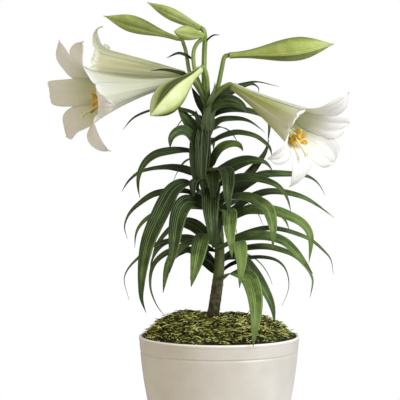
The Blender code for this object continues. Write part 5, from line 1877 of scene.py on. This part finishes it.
    def build(self, tepal_finish: Material, pistil_finish: Material, anther_finish: Material) -> None:
        """Add the bloom's tepals, its filaments with the pistil, and its anthers.

        Args:
            tepal_finish: material of the tepals.
            pistil_finish: material of filaments, style and stigma.
            anther_finish: material of the anthers.
        """
        tepals = joined([self.tepal(index) for index in range(len(self.tepals))])
        add_piece(self.name + "_tepals", tepals, tepal_finish, (self.name,))
        nodes = (self.name + "_stamens",)
        add_piece(self.name + "_filaments", self.filaments(), pistil_finish, nodes)
        add_piece(self.name + "_anthers", self.anthers(), anther_finish, nodes)


BLOOMS = {
    "bloom_left": Bloom("bloom_left", (190, 79.5, -10), (94.5, 95, -56), 25, 2, 121, 18, (
        Tepal(20, 46, 16, 118, 0.5), Tepal(78, 61, 14, 128, 0.4), Tepal(127, 43, 16, 110, 0.5),
        Tepal(213, 54, 14, 150, 0.5), Tepal(255, 38, 13.5, 168, 0.25), Tepal(326, 46, 19, 126, 0.6),
    )),
    "bloom_back": Bloom("bloom_back", (186, 75.5, 5), (107, 63.5, 36), 14.3, 0.92, 84, 3.6, (
        Tepal(-22, 36, 7, 172, 0.9), Tepal(50, 24, 10, 122, 0.9), Tepal(110, 23, 9.5, 125, 0.9),
        Tepal(175, 18, 9, 150, 0.9), Tepal(232, 16, 8.5, 150, 0.9), Tepal(285, 15, 9, 150, 0.9),
    ), slot="tepal_greenish"),
    "bloom_right": Bloom("bloom_right", (232, 86, -12), (297, 126, -64), 19.5, 1.35, 115, 20, (
        Tepal(26, 46, 14.5, 108, 0.4), Tepal(70, 46, 14, 108, 0.3), Tepal(116, 53, 16.5, 118, 0.3),
        Tepal(174, 52, 14.5, 134, 0.5), Tepal(234, 42, 15, 138, 1.3), Tepal(300, 20, 12, 95, 1.6),
    )),
}


# Buds


@dataclass
class Bud:
    """Closed bud: a long spindle with three ridges, narrow at its stalk and pointed at its tip.

    taper is the power of its fall to the tip, and contrast the strength of the painted shade on one
    side of each ridge. The ridge and the furrow beside it have a share of the radius, a turn off the
    ridge's line and a width, and the glow is a painted highlight along the ridge: its brightness, its
    turn and its width.
    """

    name: str
    base: tuple
    tip: tuple
    radius: float
    swell: float
    sag: float
    taper: float
    slot: str = "bud_green"
    keel_turn: float = 0.0
    tone: float = 0.45
    shade_contrast: float = 0.3
    foot: float = 0.28
    rise: float = 2.6
    gap: float = 0.3 * MM
    rows: int = 60
    sides: int = 60
    tip_share: float = 0.06
    lobe: float = 0.04
    ridge: tuple = (0.05, 0.0, 0.13)
    furrow: tuple = (0.06, 0.22, 0.13)
    glow: tuple = (0.12, -0.06, 0.12)
    shade_start: tuple = (0.02, 0.14)
    shade_end: tuple = (0.2, 1.0)
    shade_depth: float = 0.75
    shade_fade: float = 0.75

    def girth(self, share: np.ndarray) -> np.ndarray:
        """Share of the radius along the bud: it rises as a power of a sine to the swell, and falls
        as a power of a cosine to the tip.

        Args:
            share: shares of the way from foot to tip.

        Returns:
            Shares of the radius.
        """
        rise = np.sin(0.5 * np.pi * limited(share / self.swell)) ** self.rise
        fall = np.cos(0.5 * np.pi * limited((share - self.swell) / (1.0 - self.swell)))
        rising = self.foot + (1.0 - self.foot) * rise
        falling = np.maximum(self.tip_share, np.maximum(fall, 0.0) ** self.taper)
        return np.where(share < self.swell, rising, falling)

    def surface(self) -> Surface:
        """Rings along the bud, bulging at three ridges with furrows beside them; the tone paints shade on
        one side of each ridge and a highlight along it.

        Returns:
            The closed bud with the tint "tone".
        """
        base, tip = VIEW.place((self.base, self.tip))
        axis = unit(tip - base)
        up = unit(Z_AXIS - axis * axis[2])
        side = np.cross(axis, up)
        share = np.linspace(0.0, 1.0, self.rows + 1)
        start = base + axis * self.gap
        middle = start + (tip - start) * share[:, None]
        middle = middle + up * (self.sag * MM * np.sin(np.pi * share))[:, None]
        angle = circle_angles(self.sides)
        off = (angle - math.radians(self.keel_turn) + np.pi / 3) % (2 * np.pi / 3) - np.pi / 3
        body = np.sin(np.pi * share)[:, None]
        ridge, furrow, glow = (size * bell(off - turn, width)
                               for size, turn, width in (self.ridge, self.furrow, self.glow))
        keel = 1.0 + (self.lobe * np.cos(3 * off) + ridge) * body - furrow * body
        reach = self.radius * MM * self.girth(share)[:, None] * keel
        circle = up * np.cos(angle)[:, None] + side * np.sin(angle)[:, None]
        rings = middle[:, None] + circle[None] * reach[..., None]
        # painted shade on one side of each ridge, set by the contrast, and a painted highlight (the glow)
        # along the ridge
        shaded = ease(off, *self.shade_start) * (1.0 - self.shade_fade * ease(off, *self.shade_end))
        tone = self.tone + (glow - self.shade_depth * self.shade_contrast * shaded) * body**0.3
        tone = np.broadcast_to(tone, rings.shape[:2]).ravel()
        return closed_rings(rings).tinted(tone=np.concatenate((tone, (self.tone, self.tone))))

    def build(self, finish: Material) -> None:
        """Add the bud with its finish."""
        add_piece(self.name + "_skin", self.surface(), finish, (self.name,))


BUDS = {
    "bud_high": Bud("bud_high", (200, 28, -2), (146.7, 2, -16), 6.2, 0.52, -0.3, 1.1, tone=0.45, foot=0.48,
                    rise=1.7),
    "bud_left": Bud("bud_left", (179, 39, 2), (103.5, 15.8, 8), 8.7, 0.62, 0.3, 1.25, tone=0.44),
    "bud_small": Bud("bud_small", (202.5, 35.5, -9), (174, 31.5, -42), 7.2, 0.56, 0, 0.9, tone=0.5,
                     foot=0.42, rise=1.6),
    # bud_front: stronger painted shade, and its ridges turned so that the painted shade lies on the
    # upper-left facets
    "bud_front": Bud("bud_front", (200, 69.5, -20), (150.5, 115.5, -76), 14.2, 0.64, 0.9, 0.87,
                     slot="bud_pale", keel_turn=68, tone=0.86, shade_contrast=1.6),
    "bud_right": Bud("bud_right", (229, 55.5, -3), (334, 44, -14), 11.9, 0.64, -1.5, 1.1, tone=0.46),
}


def flower_axis(name: str) -> np.ndarray:
    """Direction in which a bloom or a bud leaves its flower stalk.

    Args:
        name: the bloom's or the bud's name.

    Returns:
        A unit vector.
    """
    if name in BLOOMS:
        return BLOOMS[name].axes()[1][2]
    base, tip = VIEW.place((BUDS[name].base, BUDS[name].tip))
    return unit(tip - base)


# Studio


@dataclass(frozen=True)
class SoftBox:
    """A square soft light that looks at a point."""

    name: str
    place: tuple
    aim: tuple
    size: float
    power: float
    colour: tuple

    def build(self) -> None:
        """Hang the light."""
        data = bpy.data.lights.new(self.name, "AREA")
        data.shape = "SQUARE"
        data.size = self.size
        data.energy = self.power
        data.color = self.colour
        light = add_object(self.name, data)
        light.location = self.place
        back = np.subtract(self.place, self.aim)
        pitch = math.atan2(float(np.hypot(back[0], back[1])), back[2])
        light.rotation_euler = (pitch, 0.0, math.atan2(back[0], -back[1]))


@dataclass
class Studio:
    """Plain pale floor, white surroundings, soft lights and the camera at the photographed angle."""

    floor_radius: float = 0.42
    floor_thickness: float = 0.004
    floor_sides: int = 96
    paper_dark: tuple = (0.84, 0.84, 0.83)
    paper_light: tuple = (0.88, 0.88, 0.87)
    ambient: float = 0.40
    ambient_colour: tuple = (1.0, 0.985, 0.955, 1.0)
    white: tuple = (1, 1, 1, 1)
    lights: tuple = (
        SoftBox("key_light", (1.15, -0.95, 0.95), (0.0, 0.0, 0.28), 0.9, 30.0, (1.0, 1.0, 1.0)),
        SoftBox("fill_light", (-1.2, -0.9, 0.55), (0.0, 0.0, 0.26), 1.1, 7.0, (1.0, 0.755, 0.35)),
    )
    sensor: float = 36.0
    field_width: float = 412.5 * MM

    def floor(self) -> None:
        """Add a round floor of pale paper with a fine grain."""
        edge = np.array(((self.floor_radius, 0.0), (self.floor_radius, -self.floor_thickness)))
        mesh = lathe(edge, self.floor_sides).mesh("floor")
        paper = Shader("floor_paper")
        grain = paper.noise(paper.vector(), scale=400.0)
        paper.surface(Base_Color=paper.mix(grain, self.paper_dark, self.paper_light), Roughness=0.9)
        mesh.materials.append(paper.material)
        floor = add_object("floor", mesh)

    def surroundings(self) -> None:
        """White to the camera, softer where it lights the object."""
        world = bpy.data.worlds.new("studio")
        bpy.context.scene.world = world
        world.use_nodes = True
        tree = world.node_tree
        tree.nodes.clear()
        out = tree.nodes.new("ShaderNodeOutputWorld")
        mix = tree.nodes.new("ShaderNodeMixShader")
        path = tree.nodes.new("ShaderNodeLightPath")
        tree.links.new(path.outputs["Is Camera Ray"], mix.inputs[0])
        for socket, colour, strength in (
            (mix.inputs[1], self.ambient_colour, self.ambient),
            (mix.inputs[2], self.white, 1.0),
        ):
            glow = tree.nodes.new("ShaderNodeBackground")
            glow.inputs["Color"].default_value = colour
            glow.inputs["Strength"].default_value = strength
            tree.links.new(glow.outputs[0], socket)
        tree.links.new(mix.outputs[0], out.inputs["Surface"])

    def camera(self) -> None:
        """Level camera in front of the plant, looking along +Y."""
        data = bpy.data.cameras.new("front_camera")
        data.sensor_width = self.sensor
        data.lens = self.sensor * VIEW.distance / self.field_width
        camera = add_object("front_camera", data)
        camera.location = (VIEW.eye_x, -VIEW.distance, VIEW.eye_z)
        camera.rotation_euler = (math.pi / 2, 0.0, 0.0)
        bpy.context.scene.camera = camera

    def build(self) -> None:
        """Set up floor, surroundings, lights and camera."""
        self.floor()
        self.surroundings()
        for light in self.lights:
            light.build()
        self.camera()
        bpy.context.scene.view_settings.view_transform = "Standard"


def main() -> None:
    """Build all pieces and the studio."""
    logging.basicConfig(level=logging.INFO, format="%(message)s")
    Pot().build()
    dress_node("soil", SoilFinish().material())
    Moss().build()
    dress_node("bulb", BulbFinish().material())
    LeafyStem().build()
    pistil, anther = PistilFinish().material(), AntherFinish().material()
    skins = {
        # the left bloom's tepals: a darker copy of the white, painted shade for the bloom on the side away
        # from the key light
        "bloom_left": TepalFinish("tepal_white_painted_shade", (0.74, 0.745, 0.71), (0.63, 0.63, 0.585),
                                  (0.56, 0.565, 0.46)),
        "bloom_back": TepalFinish("tepal_greenish", (0.84, 0.85, 0.64), (0.74, 0.76, 0.52),
                                  (0.76, 0.78, 0.55), (0.52, 0.57, 0.26)),
        "bloom_right": TepalFinish(),
    }
    for name, bloom in BLOOMS.items():
        bloom.build(skins[name].material(), pistil, anther)
    green_skin, pale_skin = BudFinish("bud_green").material(), BudFinish("bud_pale").material()
    for name, bud in BUDS.items():
        bud.build(pale_skin if name == "bud_front" else green_skin)
    Studio().build()
    bpy.context.view_layer.update()


if __name__ == "__main__":
    main()
